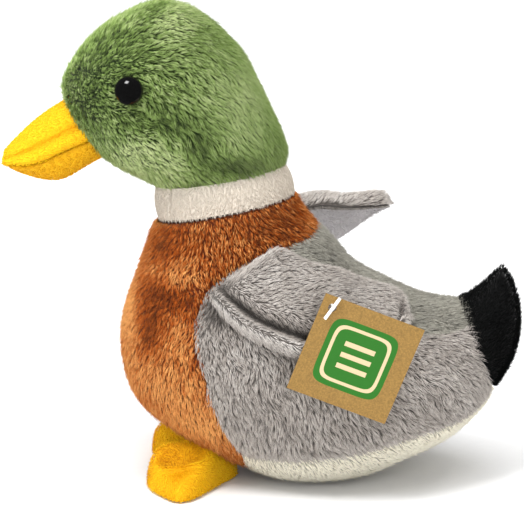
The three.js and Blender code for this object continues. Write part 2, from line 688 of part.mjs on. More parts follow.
function fastenerShape(grow) {
  const at = (height, shift) => holeInFrame.clone().addScaledVector(barLine, shift).setZ(height);
  const halfBar = fastenerBar.length / 2 + grow;
  const thick = fastenerBar.diameter + 2 * grow;
  const bar = (height) => rodBetween(at(height, -halfBar), at(height, halfBar), thick);
  const stem = rodBetween(at(-innerBarDepth, 0), at(outerBarHeight, 0), fastenerStem + 2 * grow);
  return join(stem, bar(outerBarHeight), bar(-innerBarDepth)).applyMatrix4(tagFrame);
}
const fastener = fastenerShape(0);

// Each wing is built closed. The right one stands open and twisted as the duck sits.
const leftWing = new THREE.Group();
const rightWing = new THREE.Group();
duck.add(leftWing, rightWing);
add('wing_left_cover', cut(wingCover, fastenerShape(seatGap)), greyPile, leftWing);
add('wing_left_lining', wingLining, liningCloth, leftWing);
const wingLine = wingAt(0.9, 0.5, padLift + wingSwell).sub(wingPivot).normalize();
const limp = (geometry) => mirrored(twisted(geometry, wingPivot, wingLine, wingTwist));
add('wing_right_cover', limp(wingCover), greyPile, rightWing);
add('wing_right_lining', limp(wingLining), liningCloth, rightWing);
add('tag_fastener', fastener, fastenerPlastic, leftWing);
add('tag_card', card, kraftCard);
const rightPivot = new THREE.Vector3(-wingPivot.x, wingPivot.y, wingPivot.z);
const rightAxis = new THREE.Vector3(-wingAxis.x, wingAxis.y, wingAxis.z);
rightWing.quaternion.setFromAxisAngle(rightAxis, radians(wingOpenAtRest));
rightWing.position.copy(rightPivot).sub(rightPivot.clone().applyQuaternion(rightWing.quaternion));

// Feet, cut to the round of the body above them
const bodyTool = skin(ringsOf(bodySleeve, 1, 9, 25, seatGap, 48));
const outline = new THREE.CatmullRomCurve3(footOutline.map(([x, y]) => new THREE.Vector3(x, y, 0)), true);
const [footHeel, footOuter] = [footOutline[0][0], footOutline[6][0]];
const footHeight = (x) => mix(footInnerHeight, footOuterHeight,
  clamp((x - footHeel) / (footOuter - footHeel), 0, 1));
// A point of the web at a share of the way out from its centre, at a height
function webPoint(share, around, height) {
  const edge = outline.getPoint(around % 1);
  return new THREE.Vector3(mix(footCentre[0], edge.x, share), mix(footCentre[1], edge.y, share), height);
}
const footSeam = soleThickness + seatGap;
function footTop(share, around) {
  const point = webPoint(share, around, footSeam + footSideHeight);
  const dimple = footDimple * Math.exp(-((share / 0.35) ** 2));
  const rise = footHeight(point.x) - footSideHeight - soleThickness - dimple;
  point.z += rise * Math.sqrt(1 - share ** footRoundness);
  return point;
}
const footSteps = { out: 7, around: 30 };
const footUpper = cut(panel(footSteps.out, footSteps.around, footTop,
  (share, around) => webPoint(share, around, footSeam)), bodyTool);
add('foot_left_upper', footUpper, yellowPile);
add('foot_right_upper', mirrored(footUpper), yellowPile);
const soleShape = new THREE.Shape(Array.from({ length: footSteps.around }, (_, i) => {
  const edge = outline.getPoint(i / footSteps.around);
  return new THREE.Vector2(edge.x, edge.y);
}));
const sole = cleaned(new THREE.ExtrudeGeometry(soleShape, { depth: soleThickness, bevelEnabled: false }));
add('foot_left_sole', sole, orangePile);
add('foot_right_sole', mirrored(sole), orangePile);

export default duck;
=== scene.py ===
"""Looks of a seated plush mallard drake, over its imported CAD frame.

Millimetres in the shapes, metres in the meshes. It faces -Y and its left side is +X.
Every cover is a core of knitted backing with a pile of short strands standing on it.
"""
import json
import math
from functools import partial

import bpy
import numpy as np
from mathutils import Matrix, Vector

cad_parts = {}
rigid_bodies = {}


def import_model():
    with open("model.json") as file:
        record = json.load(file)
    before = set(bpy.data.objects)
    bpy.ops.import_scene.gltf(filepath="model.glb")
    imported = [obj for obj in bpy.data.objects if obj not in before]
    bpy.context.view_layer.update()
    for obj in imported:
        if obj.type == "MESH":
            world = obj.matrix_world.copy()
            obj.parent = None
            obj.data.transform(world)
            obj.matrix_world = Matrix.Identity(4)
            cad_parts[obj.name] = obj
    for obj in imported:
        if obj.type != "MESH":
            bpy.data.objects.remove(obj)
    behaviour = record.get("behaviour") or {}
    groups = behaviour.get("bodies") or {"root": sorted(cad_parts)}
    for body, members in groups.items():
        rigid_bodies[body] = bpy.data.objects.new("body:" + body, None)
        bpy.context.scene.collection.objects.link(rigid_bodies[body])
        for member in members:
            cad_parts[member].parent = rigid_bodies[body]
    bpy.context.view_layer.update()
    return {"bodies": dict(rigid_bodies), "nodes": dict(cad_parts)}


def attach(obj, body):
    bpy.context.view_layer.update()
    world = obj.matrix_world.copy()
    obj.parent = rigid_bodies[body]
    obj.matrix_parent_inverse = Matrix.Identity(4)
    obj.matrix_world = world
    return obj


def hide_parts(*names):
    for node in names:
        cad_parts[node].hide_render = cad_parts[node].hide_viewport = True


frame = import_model()

bl_info = {
    "name": "Plush Mallard",
    "version": (1, 0, 0),
    "blender": (4, 5, 0),
    "location": "3D View > Sidebar > Plush",
    "description": "Pile, eyes, bill, wings, feet and tag of a stuffed drake",
    "category": "Object",
}

MM = 0.001


# Sizes of the shapes, in millimetres and degrees

# The middle that the body's sections fan out from, along and up
BEND = (34.0, 114.0)
# Body sections: angle down from the front, distances to the back and to the belly, share of the width
BODY_ROWS = np.array([
    (10.8, 39.8, 93, 0.53), (20, 38.5, 104.6, 0.62), (30, 37, 121.2, 0.76), (40, 36, 130.6, 0.88),
    (50, 36.2, 129.3, 0.95), (60, 38, 127, 0.98), (70, 39.3, 125.4, 1), (80, 40.8, 118.8, 0.96),
    (90, 43.7, 108.8, 0.9), (100, 47.6, 101.8, 0.8), (108, 50.7, 94.8, 0.66), (115, 52.4, 87.6, 0.5),
    (122, 51.8, 81, 0.34), (130, 50.7, 69.7, 0.19), (135, 50.4, 59.7, 0.092), (137, 51.6, 51.6, 0)], float)
# Where the head's sections start, along and up, and how far their stack leans back
HEAD_BASE = (-33.5, 112.5)
HEAD_TILT = 9.8
# Head sections: height, reach to the face and to the nape, share of the width
HEAD_ROWS = np.array([
    (0, 24.9, 25.1, 0.73), (5, 31.6, 26.4, 0.82), (12, 40.2, 25.5, 0.905), (22, 47.2, 22.9, 0.977),
    (33, 51, 19.8, 1), (43, 51.4, 16.3, 0.963), (52, 45.1, 10.6, 0.833), (59, 36.7, 4.6, 0.647),
    (64, 26.2, -2, 0.402), (67.1, 12.5, -12.5, 0)], float)
# Two makes the sections elliptic, and more makes them squarer.
SQUARENESS = 2.15
# How far the belly would reach under the floor, and how softly it leaves the floor
REST_DEPTH, REST_SOFTNESS = 0.5, 2.0
# Seams: the breast's as turn round the body and angle along it, the belly's as angle and turn
BREAST_SEAM = np.array([(0, 31.5), (20, 31.5), (45, 28), (68, 25.6), (95, 27.5), (103, 35), (107, 41),
                        (118, 48.5), (130, 54.3), (141, 59), (180, 63)], float)
BELLY_SEAM = np.array([(59, 141), (65, 129), (71.5, 121), (81, 117.5), (90, 120), (99.5, 125),
                       (106, 137), (113, 146)], float)
# The back seam's turn and the tail seam's angle
BACK_SEAM, TAIL_SEAM = 46.0, 113.6
# The eye's height over the head's base, and its turn from the nape
EYE_HEIGHT, EYE_TURN = 39.3, 101.5
# Bill sections: place along, heights of the top, the mouth and the underside, half the width
BILL_ROWS = np.array([
    (-60, 155, 131.5, 123.5, 9.5), (-68, 153, 129.5, 121, 11), (-78, 147.3, 126.5, 117, 13),
    (-90, 140.3, 121.6, 110.2, 14.3), (-97, 136, 118.4, 109.7, 15), (-103, 131.3, 117, 111.3, 15),
    (-108, 126.5, 116.8, 113.2, 13), (-111.5, 122.9, 117, 115.3, 9.4), (-113.2, 120.8, 117.6, 116.5, 5.5)],
    float)
# Upper bill, from the mouth out round the rim to the ridge: shares of the half width and of the height
BILL_PROFILE = np.array([(0, 0), (0.8, -0.02), (1, 0.04), (1.06, 0.15), (1, 0.27), (0.85, 0.34),
                         (0.75, 0.37), (0.77, 0.45), (0.72, 0.63), (0.52, 0.85), (0.27, 0.96), (0, 1)], float)
# Share of the bill's length where its tip starts to round off
BILL_END = 0.94
# Wing: angle and turn on the body of its upper edge, then of its lower edge, from root to tip
WING_ROWS = np.array([
    (26.6, 56.5, 28.6, 94), (33.5, 48, 36, 88.5), (43, 40.5, 46.5, 83), (55, 31.5, 58.5, 78),
    (69, 26.5, 70.5, 72.5), (82, 26.5, 81.5, 62), (90.5, 35, 90, 45)], float)
# Distance between the fine upright ridges of the breast
RIDGE_SPACING = 1.3
# Shares along and across the wing where the tag's fastener is held
FASTENER_SPOT = (0.48, 0.27)
# A point of the near wing's root seam, and the seam's direction
WING_PIVOT = np.array((36.66, -25.73, 83.316))
WING_AXIS = np.array((-0.2537, 0.8604, 0.4421))
# The limp right wing stands opened about its seam, and twisted within a length from it.
WING_OPEN, WING_TWIST, WING_TWIST_LENGTH = 53.0, 29.0, 40.0
# Outline of the near foot from above, and the middle that its rings shrink to
FOOT_OUTLINE = np.array([(10, -27), (11, -42), (13.5, -56.5), (20.5, -60.5), (30, -59), (39.5, -54.5),
                         (46.5, -48.5), (43, -42.5), (33, -37.5), (22, -32)], float)
FOOT_CENTRE = np.array((27.0, -46.5))
# The tag's card: which way it faces, its up, its middle along and up it, and its turn in its own plane
TAG_NORMAL = np.array((0.9962, 0.0, -0.0872))
TAG_UP = np.array((0.0872, 0.0, 0.9962))
TAG_CENTRE = (14.6, 60.6)
TAG_TURN = -21.4
# How far the backing's outer and inner face lie under the finished surface of a cover
BACKING_LIFT, BACKING_INSIDE = -2.5, -3.0
# Share of a panel over which its backing dips at a seam
DIP_SHARE = 0.035
# Height of the eye's dome over its seat
DOME_HEIGHT = 4.0
# Height of a strip of the bake sheet; two strips at its foot are for sheets, and the rest for strands
STRIP = 0.08
# Pile is kept off the floor, but that of a wing may go anywhere.
PILE_FLOOR, NO_FLOOR = 0.06, -1e9
# Rounds of halving that find a place, and rounds that let two seams settle on each other
HALVINGS, ROUNDS = 34, 30
PAIR = ("left", "right")


# Settings

def linear(hex_colour):
    """An sRGB hex value as linear red, green and blue."""
    s = np.array([int(hex_colour[i:i + 2], 16) for i in (1, 3, 5)]) / 255
    return tuple(float(c) for c in np.where(s <= 0.04045, s / 12.92, ((s + 0.055) / 1.055) ** 2.4))


def colour(name, hex_colour, description):
    """A colour setting with its default given as an sRGB hex value."""
    return bpy.props.FloatVectorProperty(name=name, description=description, subtype="COLOR", size=3,
                                         min=0, max=1, default=linear(hex_colour))


def length(name, mm, description):
    """A length setting with its default given in millimetres."""
    return bpy.props.FloatProperty(name=name, description=description, default=mm * MM, min=0,
                                   subtype="DISTANCE", unit="LENGTH", precision=5)


class PlushShape(bpy.types.PropertyGroup):
    """Overall sizes of the toy."""
    body_width: length("Body width", 100, "Widest place of the body, from side to side")
    head_width: length("Head width", 69.6, "Widest place of the head, from side to side")
    eye_diameter: length("Eye diameter", 10.4, "Diameter of the glossy dome of a safety eye")


class PlushPile(bpy.types.PropertyGroup):
    """The long pile of the cloths."""
    long_height: length("Long pile", 2.4, "How far the long pile stands up from its backing")
    long_reach: length("Long lean", 3.6, "How far a long strand leans over along the nap")
    long_width: length("Strand width", 0.302, "Width of a long strand, which stands for a tuft of fibres")
    density: bpy.props.FloatProperty(name="Density", description="Long strands on a square millimetre",
                                     default=3.95, min=0.1, max=8)
    clump: length("Clump", 1.9, "Distance between the clumps that the long strands gather in")


class PlushColours(bpy.types.PropertyGroup):
    """Colours of the cloths and plastics: the shade, the middle and the light of each pile, where the shade
    is painted shade between the tufts and the light is partly a painted highlight.
    """
    # Each dark colour is painted shade between the tufts, and each light colour is partly a painted
    # highlight.
    green_dark: colour("Green, dark", "#35491C", "Shade between the tufts of the head")
    green: colour("Green", "#88A455", "Pile of the head")
    green_light: colour("Green, light", "#D4E2A4", "Tips of the head's pile")
    brown_dark: colour("Brown, dark", "#7C3206", "Shade between the tufts of the breast")
    brown: colour("Brown", "#BC5812", "Pile of the breast")
    brown_light: colour("Brown, light", "#F8B268", "Tips of the breast's pile")
    grey_dark: colour("Grey, dark", "#77706A", "Shade between the tufts of sides and wings")
    grey: colour("Grey", "#BAB1A9", "Pile of the sides and wings")
    grey_light: colour("Grey, light", "#EDE7E1", "Tips of that pile")
    back: colour("Back", "#AEABA0", "Smooth pile of the back")
    cream: colour("Cream", "#F3EBD9", "Pile of the belly")
    white: colour("White", "#CFC5B7", "Velour of the collar")
    black: colour("Black", "#070808", "Pile of the tail")
    yellow: colour("Yellow", "#FFC51C", "Velour of bill and feet")
    # Painted shade in the hollows of the feet.
    amber_dark: colour("Amber, dark", "#C87C06", "Hollows of the feet")
    amber: colour("Amber", "#FFC018", "Velour of the feet")
    # Painted shade of the yellow velour: the deepest tone of the bill's groove, and of the darker velour
    # under the bill and feet.
    orange: colour("Orange", "#EFA616", "Velour under the bill and feet")
    lining: colour("Lining", "#D2CECF", "Short nap inside the wings")
    kraft: colour("Kraft", "#8A6B37", "Card of the hang tag")
    print_green: colour("Print green", "#276A1C", "Ink on the hang tag")
    print_cream: colour("Print cream", "#C9B48F", "Second ink on the hang tag")


SETTINGS = {"plush_shape": PlushShape, "plush_pile": PlushPile, "plush_colours": PlushColours}


def settings():
    """The three groups of settings on the scene."""
    scene = bpy.context.scene
    return scene.plush_shape, scene.plush_pile, scene.plush_colours


# Surfaces

def grid(across, down):
    """Two arrays of shares from 0 to 1, for a grid of that many steps each way."""
    return np.meshgrid(np.linspace(0, 1, across + 1), np.linspace(0, 1, down + 1), indexing="ij")


def unit(v):
    """Vectors at length one."""
    return v / (np.linalg.norm(v, axis=-1, keepdims=True) + 1e-12)


def dot(a, b):
    """Dot products that keep their last axis."""
    return np.sum(a * b, -1, keepdims=True)


def bell(x, centre, width):
    """A bell curve: one at the centre, falling off with the square of the distance."""
    return np.exp(-((x - centre) / width) ** 2)


def eased(x):
    """A share made smooth at both ends: three times its square less twice its cube."""
    return x * x * (3 - 2 * x)


def risen(x, width):
    """A rise from zero to one over a width, as the first quarter of a sine."""
    return np.sin(math.pi / 2 * np.clip(x / width, 0, 1))


def along(pairs, x):
    """A smooth curve through (place, value) pairs: between two of them a cubic, whose slopes are those
    from each point's neighbours."""
    px, py = pairs[:, 0], pairs[:, 1]
    x = np.clip(x, px[0], px[-1])
    i = np.clip(np.searchsorted(px, x, side="right") - 1, 0, len(px) - 2)
    before, after = np.maximum(np.arange(len(px)) - 1, 0), np.minimum(np.arange(len(px)) + 1, len(px) - 1)
    slope = (py[after] - py[before]) / (px[after] - px[before])
    wide = px[i + 1] - px[i]
    f = (x - px[i]) / wide
    rise = (2 * f - 3) * f * f + 1
    return (rise * py[i] + (1 - rise) * py[i + 1]
            + wide * f * (1 - f) * ((1 - f) * slope[i] - f * slope[i + 1]))


def through(a, b, c, d, f):
    """Catmull-Rom: the cubic from b to c at share f, with half of a to c and of b to d as its slopes."""
    return 0.5 * (2 * b + (c - a) * f + (2 * a - 5 * b + 4 * c - d) * f ** 2
                  + (3 * b - a - 3 * c + d) * f ** 3)


def row_at(rows, t, beyond=None):
    """A smooth curve through whole rows at t from 0 to the last row; past the end stands the row beyond."""
    beyond = 2 * rows[-1] - rows[-2] if beyond is None else beyond
    r = np.vstack([2 * rows[0] - rows[1], rows, beyond])
    i = np.clip(np.floor(t).astype(int), 0, len(rows) - 2)
    return through(r[i], r[i + 1], r[i + 2], r[i + 3], (np.asarray(t) - i)[..., None])


def section(y, z, front_y, front_z, deep, half, turn):
    """A rounded section: sine and cosine of the turn, each raised to 2/squareness, times half its width
    and half its depth."""
    c, s = np.cos(turn), np.sin(turn)
    c = np.sign(c) * np.abs(c) ** (2 / SQUARENESS)
    s = np.sign(s) * np.abs(s) ** (2 / SQUARENESS)
    return np.stack([half * s, y - front_y * deep * c, z - front_z * deep * c], -1)


def body_raw(t, turn):
    """The body is a bent sleeve whose sections fan out round a bend centre above the back."""
    a, n, f, s = BODY_ROWS[-2]
    angle, near, far, share = np.moveaxis(row_at(BODY_ROWS, t, np.array((a, f, n, -s))), -1, 0)
    width = settings()[0].body_width / MM
    front_y, front_z = -np.cos(np.radians(angle)), -np.sin(np.radians(angle))
    middle = (near + far) / 2
    return section(BEND[0] + front_y * middle, BEND[1] + front_z * middle, front_y, front_z,
                   (far - near) / 2, share * width / 2, turn)


def head_raw(t, turn):
    """The head is a stack of sections that rise from the collar, tilted up towards the back."""
    h, f, n, s = HEAD_ROWS[-2]
    height, face, nape, share = np.moveaxis(row_at(HEAD_ROWS, t, np.array((h, -n, -f, -s))), -1, 0)
    width = settings()[0].head_width / MM
    tilt = math.radians(HEAD_TILT)
    front_y, front_z = -math.cos(tilt), -math.sin(tilt)
    middle = (face - nape) / 2
    return section(HEAD_BASE[0] - math.sin(tilt) * height + front_y * middle,
                   HEAD_BASE[1] + math.cos(tilt) * height + front_z * middle, front_y, front_z,
                   (face + nape) / 2, share * width / 2, turn)


def neck_raw(t, turn):
    """The neck runs straight from the body's first section to the head's first."""
    low, high = body_raw(np.zeros_like(t), turn), head_raw(np.zeros_like(t), turn)
    return low + (high - low) * np.asarray(t)[..., None]


# Each sleeve's surface, its last row, and the sign that turns its normals outward
SLEEVES = {"body": (body_raw, len(BODY_ROWS) - 1, -1), "head": (head_raw, len(HEAD_ROWS) - 1, 1),
           "neck": (neck_raw, 1, 1)}


def surface(sleeve, t, turn, lift=0.0):
    """A sleeve's surface moved out along its normal by lift. The slopes are taken a small step either
    way, and not quite at the closed end. The body's underside is settled on the floor: a height near it
    becomes the floor plus a soft ramp, softness * log(1 + exp(height / softness))."""
    raw, last, outward = SLEEVES[sleeve]
    t, turn, lift = np.broadcast_arrays(np.asarray(t, float), np.asarray(turn, float),
                                        np.asarray(lift, float))
    step, closed = 1e-3, 0.04
    at = np.clip(t, step, last - closed)
    normal = outward * unit(np.cross(raw(at + step, turn) - raw(at - step, turn),
                                     raw(at, turn + step) - raw(at, turn - step)))
    point = raw(t, turn) + normal * lift[..., None]
    if sleeve == "body":
        floor = -REST_DEPTH - lift
        point[..., 2] = floor + REST_SOFTNESS * np.logaddexp(0, (point[..., 2] - floor) / REST_SOFTNESS)
    return point


def place_of(rows, value):
    """The place along the rows where their first number has a value, found by halving."""
    low, high = np.zeros_like(value, float), np.full_like(value, len(rows) - 1.0, float)
    for _ in range(HALVINGS):
        middle = (low + high) / 2
        below = row_at(rows, middle)[..., 0] < value
        low, high = np.where(below, middle, low), np.where(below, high, middle)
    return (low + high) / 2


# Noise

def scatter(cells, seed):
    """A repeatable value from 0 to 1 for each whole-number cell: the cell's numbers times large primes,
    mixed by multiplying and shifting."""
    h = (cells[..., 0].astype(np.int64) * 73856093 ^ cells[..., 1].astype(np.int64) * 19349663
         ^ cells[..., 2].astype(np.int64) * 83492791 ^ seed * 2654435761) & 0xFFFFFFFF
    for shift, factor in ((16, 0x45D9F3B), (15, 0x45D9F3B), (16, 1)):
        h = ((h >> shift) ^ h) * factor & 0xFFFFFFFF
    return h / 0xFFFFFFFF


def noise(points, size, seed):
    """Smooth noise from -1 to 1: random values on the corners of cubes of that size, blended in each."""
    p = points / size
    low = np.floor(p)
    f = eased(p - low)
    total = 0
    for corner in np.ndindex(2, 2, 2):
        weight = np.prod(np.where(np.array(corner) > 0, f, 1 - f), -1)
        total = total + weight * scatter(low + corner, seed)
    return 2 * total - 1


def clumps(points, size, seed):
    """The way to the nearest clump and the clump's own number: one random point in every cube."""
    cell = np.floor(points / size)
    best = np.full(points.shape[:-1], np.inf)
    way = np.zeros_like(points)
    own = np.zeros(points.shape[:-1])
    for step in np.ndindex(3, 3, 3):
        near = cell + np.array(step) - 1
        spot = (near + np.stack([scatter(near, seed + k) for k in range(3)], -1)) * size
        gap = spot - points
        far = np.sum(gap * gap, -1)
        closer = far < best
        best = np.where(closer, far, best)
        way = np.where(closer[..., None], gap, way)
        own = np.where(closer, scatter(near, seed + 7), own)
    return way, own


# Meshes

def normals_of(points, outward=1):
    """Normals of a grid: the cross product of its two slopes, and at a pole that of the next ring."""
    n = outward * np.cross(np.gradient(points, axis=0), np.gradient(points, axis=1))
    size = np.linalg.norm(n, axis=-1)
    flat = size < 1e-9 + 1e-4 * np.median(size)
    n = unit(n)
    for end, inner in ((0, 1), (-1, -2)):
        if np.all(flat[end]):
            n[end] = unit(np.mean(n[inner], axis=0))
    return n


def spread(points, density, seed):
    """Shares u and v of points laid evenly over a grid's area: a low-discrepancy series, whose steps are
    one over the plastic number and over its square, is shaken a little and sent through the running
    sums of the area of the cells."""
    a = points[1:, :-1] - points[:-1, :-1]
    b = points[:-1, 1:] - points[:-1, :-1]
    area = np.linalg.norm(np.cross(a, b), axis=-1)
    count = int(area.sum() * density)
    k = np.arange(count)
    x, y = (seed * 0.137 + k * 0.7548776662) % 1, (seed * 0.713 + k * 0.5698402910) % 1
    shake = np.random.default_rng(seed + 1000).normal(0, 0.3 / math.sqrt(count), (2, count))
    x, y = np.clip(x + shake[0], 0, 1), np.clip(y + shake[1], 0, 1)
    rows = np.concatenate([[0], np.cumsum(area.sum(1))])
    u = np.interp(x * rows[-1], rows, np.arange(len(rows)))
    i = np.minimum(u.astype(int), area.shape[0] - 1)
    sums = np.concatenate([np.zeros((area.shape[0], 1)), np.cumsum(area, 1)], 1)
    want = y * sums[i, -1]
    j = np.minimum(np.sum(sums[i, 1:] < want[:, None], 1), area.shape[1] - 1)
    v = j + (want - sums[i, j]) / (area[i, j] + 1e-12)
    return u, v


def on_grid(values, u, v):
    """A grid's values at places between its points, blended from the four corners."""
    i = np.minimum(u.astype(int), values.shape[0] - 2)
    j = np.minimum(v.astype(int), values.shape[1] - 2)
    f, g = (u - i)[:, None], (v - j)[:, None]
    return ((values[i, j] * (1 - f) + values[i + 1, j] * f) * (1 - g)
            + (values[i, j + 1] * (1 - f) + values[i + 1, j + 1] * f) * g)


class Form:
    """A mesh in the making: points, triangles, and for each point its tone, its height in the pile and
    its place on the bake sheet. Sheets have the first material and strands the second."""

    def __init__(self):
        self.parts, self.total = [], 0

    def add(self, points, faces, uv, slot, tone, height):
        count = len(points)
        self.parts.append((points, faces + self.total, uv, np.full(len(faces), slot),
                           np.broadcast_to(tone, count), np.broadcast_to(height, count)))
        self.total += count

    def sheet(self, points, outward=1, tone=0.3, bottom=0.0, high=STRIP, closed=False):
        """A grid of points as triangles, closed round if wanted, with its place in a strip of the bake
        sheet. Triangles without area, at a pole, are left out."""
        nu, nv = points.shape[:2]
        index = np.arange(nu * nv).reshape(nu, nv)
        if closed:
            index = np.hstack([index, index[:, :1]])
        a, b, c, d = index[:-1, :-1], index[1:, :-1], index[1:, 1:], index[:-1, 1:]
        faces = np.concatenate([np.stack([a, b, c], -1), np.stack([a, c, d], -1)]).reshape(-1, 3)
        flat = points.reshape(-1, 3)
        corners = flat[faces]
        area = np.linalg.norm(np.cross(corners[:, 1] - corners[:, 0], corners[:, 2] - corners[:, 0]), axis=1)
        faces = faces[area > 1e-7]
        if outward < 0:
            faces = faces[:, ::-1]
        u, v = np.meshgrid(np.linspace(0.01, 0.99, nu), np.linspace(0.05, 0.95, nv), indexing="ij")
        uv = np.stack([u, bottom + v * high], -1).reshape(-1, 2)
        self.add(flat, faces, uv, 0, tone, 0.0)

    def strands(self, root, middle, tip, side, width, tone):
        """Slim closed spindles: a root, a triangle of points at the middle and a tip. Each has a cell of
        its own on the bake sheet, above the strips."""
        count = len(root)
        axis = unit(tip - root)
        side = unit(side - axis * dot(side, axis))
        other = np.cross(axis, side)
        turns = np.arange(3) * 2 * math.pi / 3
        # Strands are 0.7 as thick as wide.
        ring = (middle[:, None] + width[:, None, None] / 2 * (np.cos(turns)[None, :, None] * side[:, None]
                + 0.7 * np.sin(turns)[None, :, None] * other[:, None]))
        points = np.concatenate([root[:, None], ring, tip[:, None]], 1).reshape(-1, 3)
        pattern = np.array([(2, 1, 0), (3, 2, 0), (1, 3, 0), (1, 2, 4), (2, 3, 4), (3, 1, 4)])
        faces = (pattern[None] + 5 * np.arange(count)[:, None, None]).reshape(-1, 3)
        across = int(math.ceil(math.sqrt(count)))
        cell = np.stack([np.arange(count) % across, np.arange(count) // across], -1) / across
        spots = np.array([(0.5, 0.1), (0.12, 0.5), (0.5, 0.55), (0.88, 0.5), (0.5, 0.9)]) / across
        uv = (cell[:, None] + spots[None]).reshape(-1, 2) * (1, 1 - 2 * STRIP) + (0, 2 * STRIP)
        self.add(points, faces, uv, 1, np.repeat(tone, 5), np.tile((0, 0.55, 0.55, 0.55, 1.0), count))

    def moved(self, change):
        """Every point sent through a change that mirrors, and the triangles turned round."""
        self.parts = [(change(points), faces[:, ::-1], *rest) for points, faces, *rest in self.parts]

    def build(self, name, *finishes):
        """The form as an object at the origin, in metres, with its materials by their names."""
        points, faces, uv, slots, tone, height = (np.concatenate(part) for part in zip(*self.parts))
        points, faces = (points * MM).astype(np.float32), faces.astype(np.int32)
        mesh = bpy.data.meshes.new(name)
        mesh.vertices.add(len(points))
        mesh.vertices.foreach_set("co", points.ravel())
        mesh.loops.add(faces.size)
        mesh.loops.foreach_set("vertex_index", faces.ravel())
        mesh.polygons.add(len(faces))
        mesh.polygons.foreach_set("loop_start", np.arange(0, faces.size, 3, dtype=np.int32))
        mesh.polygons.foreach_set("material_index", slots.astype(np.int32))
        mesh.update(calc_edges=True)
        mesh.polygons.foreach_set("use_smooth", np.full(len(faces), True))
        for label, values in (("tone", tone), ("height", height)):
            layer = mesh.attributes.new(label, "FLOAT", "POINT")
            layer.data.foreach_set("value", values.astype(np.float32))
        layer = mesh.uv_layers.new(name="OFBake")
        layer.data.foreach_set("uv", uv[faces.ravel()].astype(np.float32).ravel())
        if mesh.validate():
            raise RuntimeError(name + " has faces that had to be repaired")
        for material in finishes:
            mesh.materials.append(finish(material))
        item = bpy.data.objects.new(name, mesh)
        bpy.context.scene.collection.objects.link(item)
        return item


def mirrored(points):
    """A left piece's points sent to the right side."""
    return points * (-1, 1, 1)


def settle(item, body, slot, *nodes, fill=None):
    if not nodes or body not in frame["bodies"]:
        raise RuntimeError(item.name + " stands for no node of " + body)
    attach(item, body)
    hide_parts(*nodes)


# Pile

def steady(*way):
    """A nap that runs the same way at every place."""
    return lambda points: np.broadcast_to(np.array(way, float), points.shape)


def grow(form, core, outward, flow, seed, height=None, reach=None, width=None, density=None, tone=0.5,
         rough=0.6, curl=1.0, clump=True, floor=PILE_FLOOR, length_share=None):
    """Pile on a grid: roots laid evenly over it, each strand rising by its height along the normal and
    leaning by its reach along the nap. The nap is the flow laid in the surface and swung by smooth noise;
    rough pile stands up more. Tips gather on the nearest clump, and far from it they are lower and darker, a
    painted shade between the clumps. Tone and the share of the full length may be given as grids over the
    core."""
    _, pile, _ = settings()
    height = pile.long_height / MM if height is None else height
    reach = pile.long_reach / MM if reach is None else reach
    width = pile.long_width / MM if width is None else width
    density = pile.density if density is None else density
    normals = normals_of(core, outward)
    u, v = spread(core, density, seed)
    root, normal = on_grid(core, u, v), unit(on_grid(normals, u, v))
    count = len(root)
    shake = np.random.default_rng(seed).random((count, 5))
    wild = rough(root) if callable(rough) else np.full(count, float(rough))
    nap = unit(flow(root) - normal * dot(flow(root), normal))
    swing = curl * (0.5 * noise(root, 7.5, seed) + wild * (0.9 * noise(root, 2.6, seed + 3)
                                                           + 0.7 * (shake[:, 0] - 0.5)))
    across = np.cross(normal, nap)
    nap = nap * np.cos(swing)[:, None] + across * np.sin(swing)[:, None]
    size = pile.clump / MM
    if clump:
        way, own = clumps(root + nap * reach * 0.5, size, seed + 11)
        way = way - normal * dot(way, normal)
        far = np.clip(np.linalg.norm(way, axis=1) / size, 0, 1.2)
    else:
        way, own, far = np.zeros_like(root), np.full(count, 0.5), np.zeros(count)
    tall = height * (0.86 + 0.2 * shake[:, 1] - 0.5 * wild * far ** 2 + 0.12 * wild * (own - 0.5))
    lean = reach * (0.75 + 0.5 * shake[:, 2]) * (1 - 0.25 * wild)
    # One strand in eight stands free of the rest, longer and finer, and softens the outline.
    free = np.where(shake[:, 1] > 0.87, 1.0, 0.0)
    tall, lean = tall * (1 + 0.25 * free), lean * (1 + 0.15 * free)
    if length_share is not None:
        part = on_grid(length_share[..., None], u, v)[:, 0]
        tall, lean = tall * part, lean * part
    pull = (0.3 + 0.3 * wild)[:, None]
    middle = (root + normal * (0.62 * tall)[:, None] + nap * (0.36 * lean)[:, None] + 0.35 * pull * way
              + 0.15 * across * (shake[:, 3:4] - 0.5))
    tip = root + normal * tall[:, None] + nap * lean[:, None] + pull * way
    for part in (middle, tip):
        part[:, 2] = np.maximum(part[:, 2], floor)
    base = tone(root) if callable(tone) else tone
    if np.ndim(base) == 2:
        base = on_grid(base[..., None], u, v)[:, 0]
    # Strands far from their clump get a painted shade; the clump's own number and the shake vary the tone at
    # random.
    shade = base + wild * (0.34 * (own - 0.5) - 0.42 * far ** 2 + 0.16) + 0.3 * (shake[:, 4] - 0.5)
    shade = shade + 0.09 * noise(root, 9.0, seed + 21) + 0.06 * noise(root, 4.0, seed + 25)
    wide = width * (0.75 + 0.5 * shake[:, 3]) * (1 - 0.4 * free)
    form.strands(root, middle, tip, across, wide, np.clip(shade, 0, 1))


def patches(spots, base):
    """Tone over the side of the toy: a base plus soft round patches, each given as place along, height, two
    radii and how much lighter or darker, partly where the pile was brushed up or laid flat and partly painted
    light and shade."""
    def tone(p):
        total = np.full(len(p), float(base))
        for y, z, wide, high, amount in spots:
            total += amount * np.exp(-(((p[:, 1] - y) / wide) ** 2 + ((p[:, 2] - z) / high) ** 2))
        return total
    return tone


# Materials

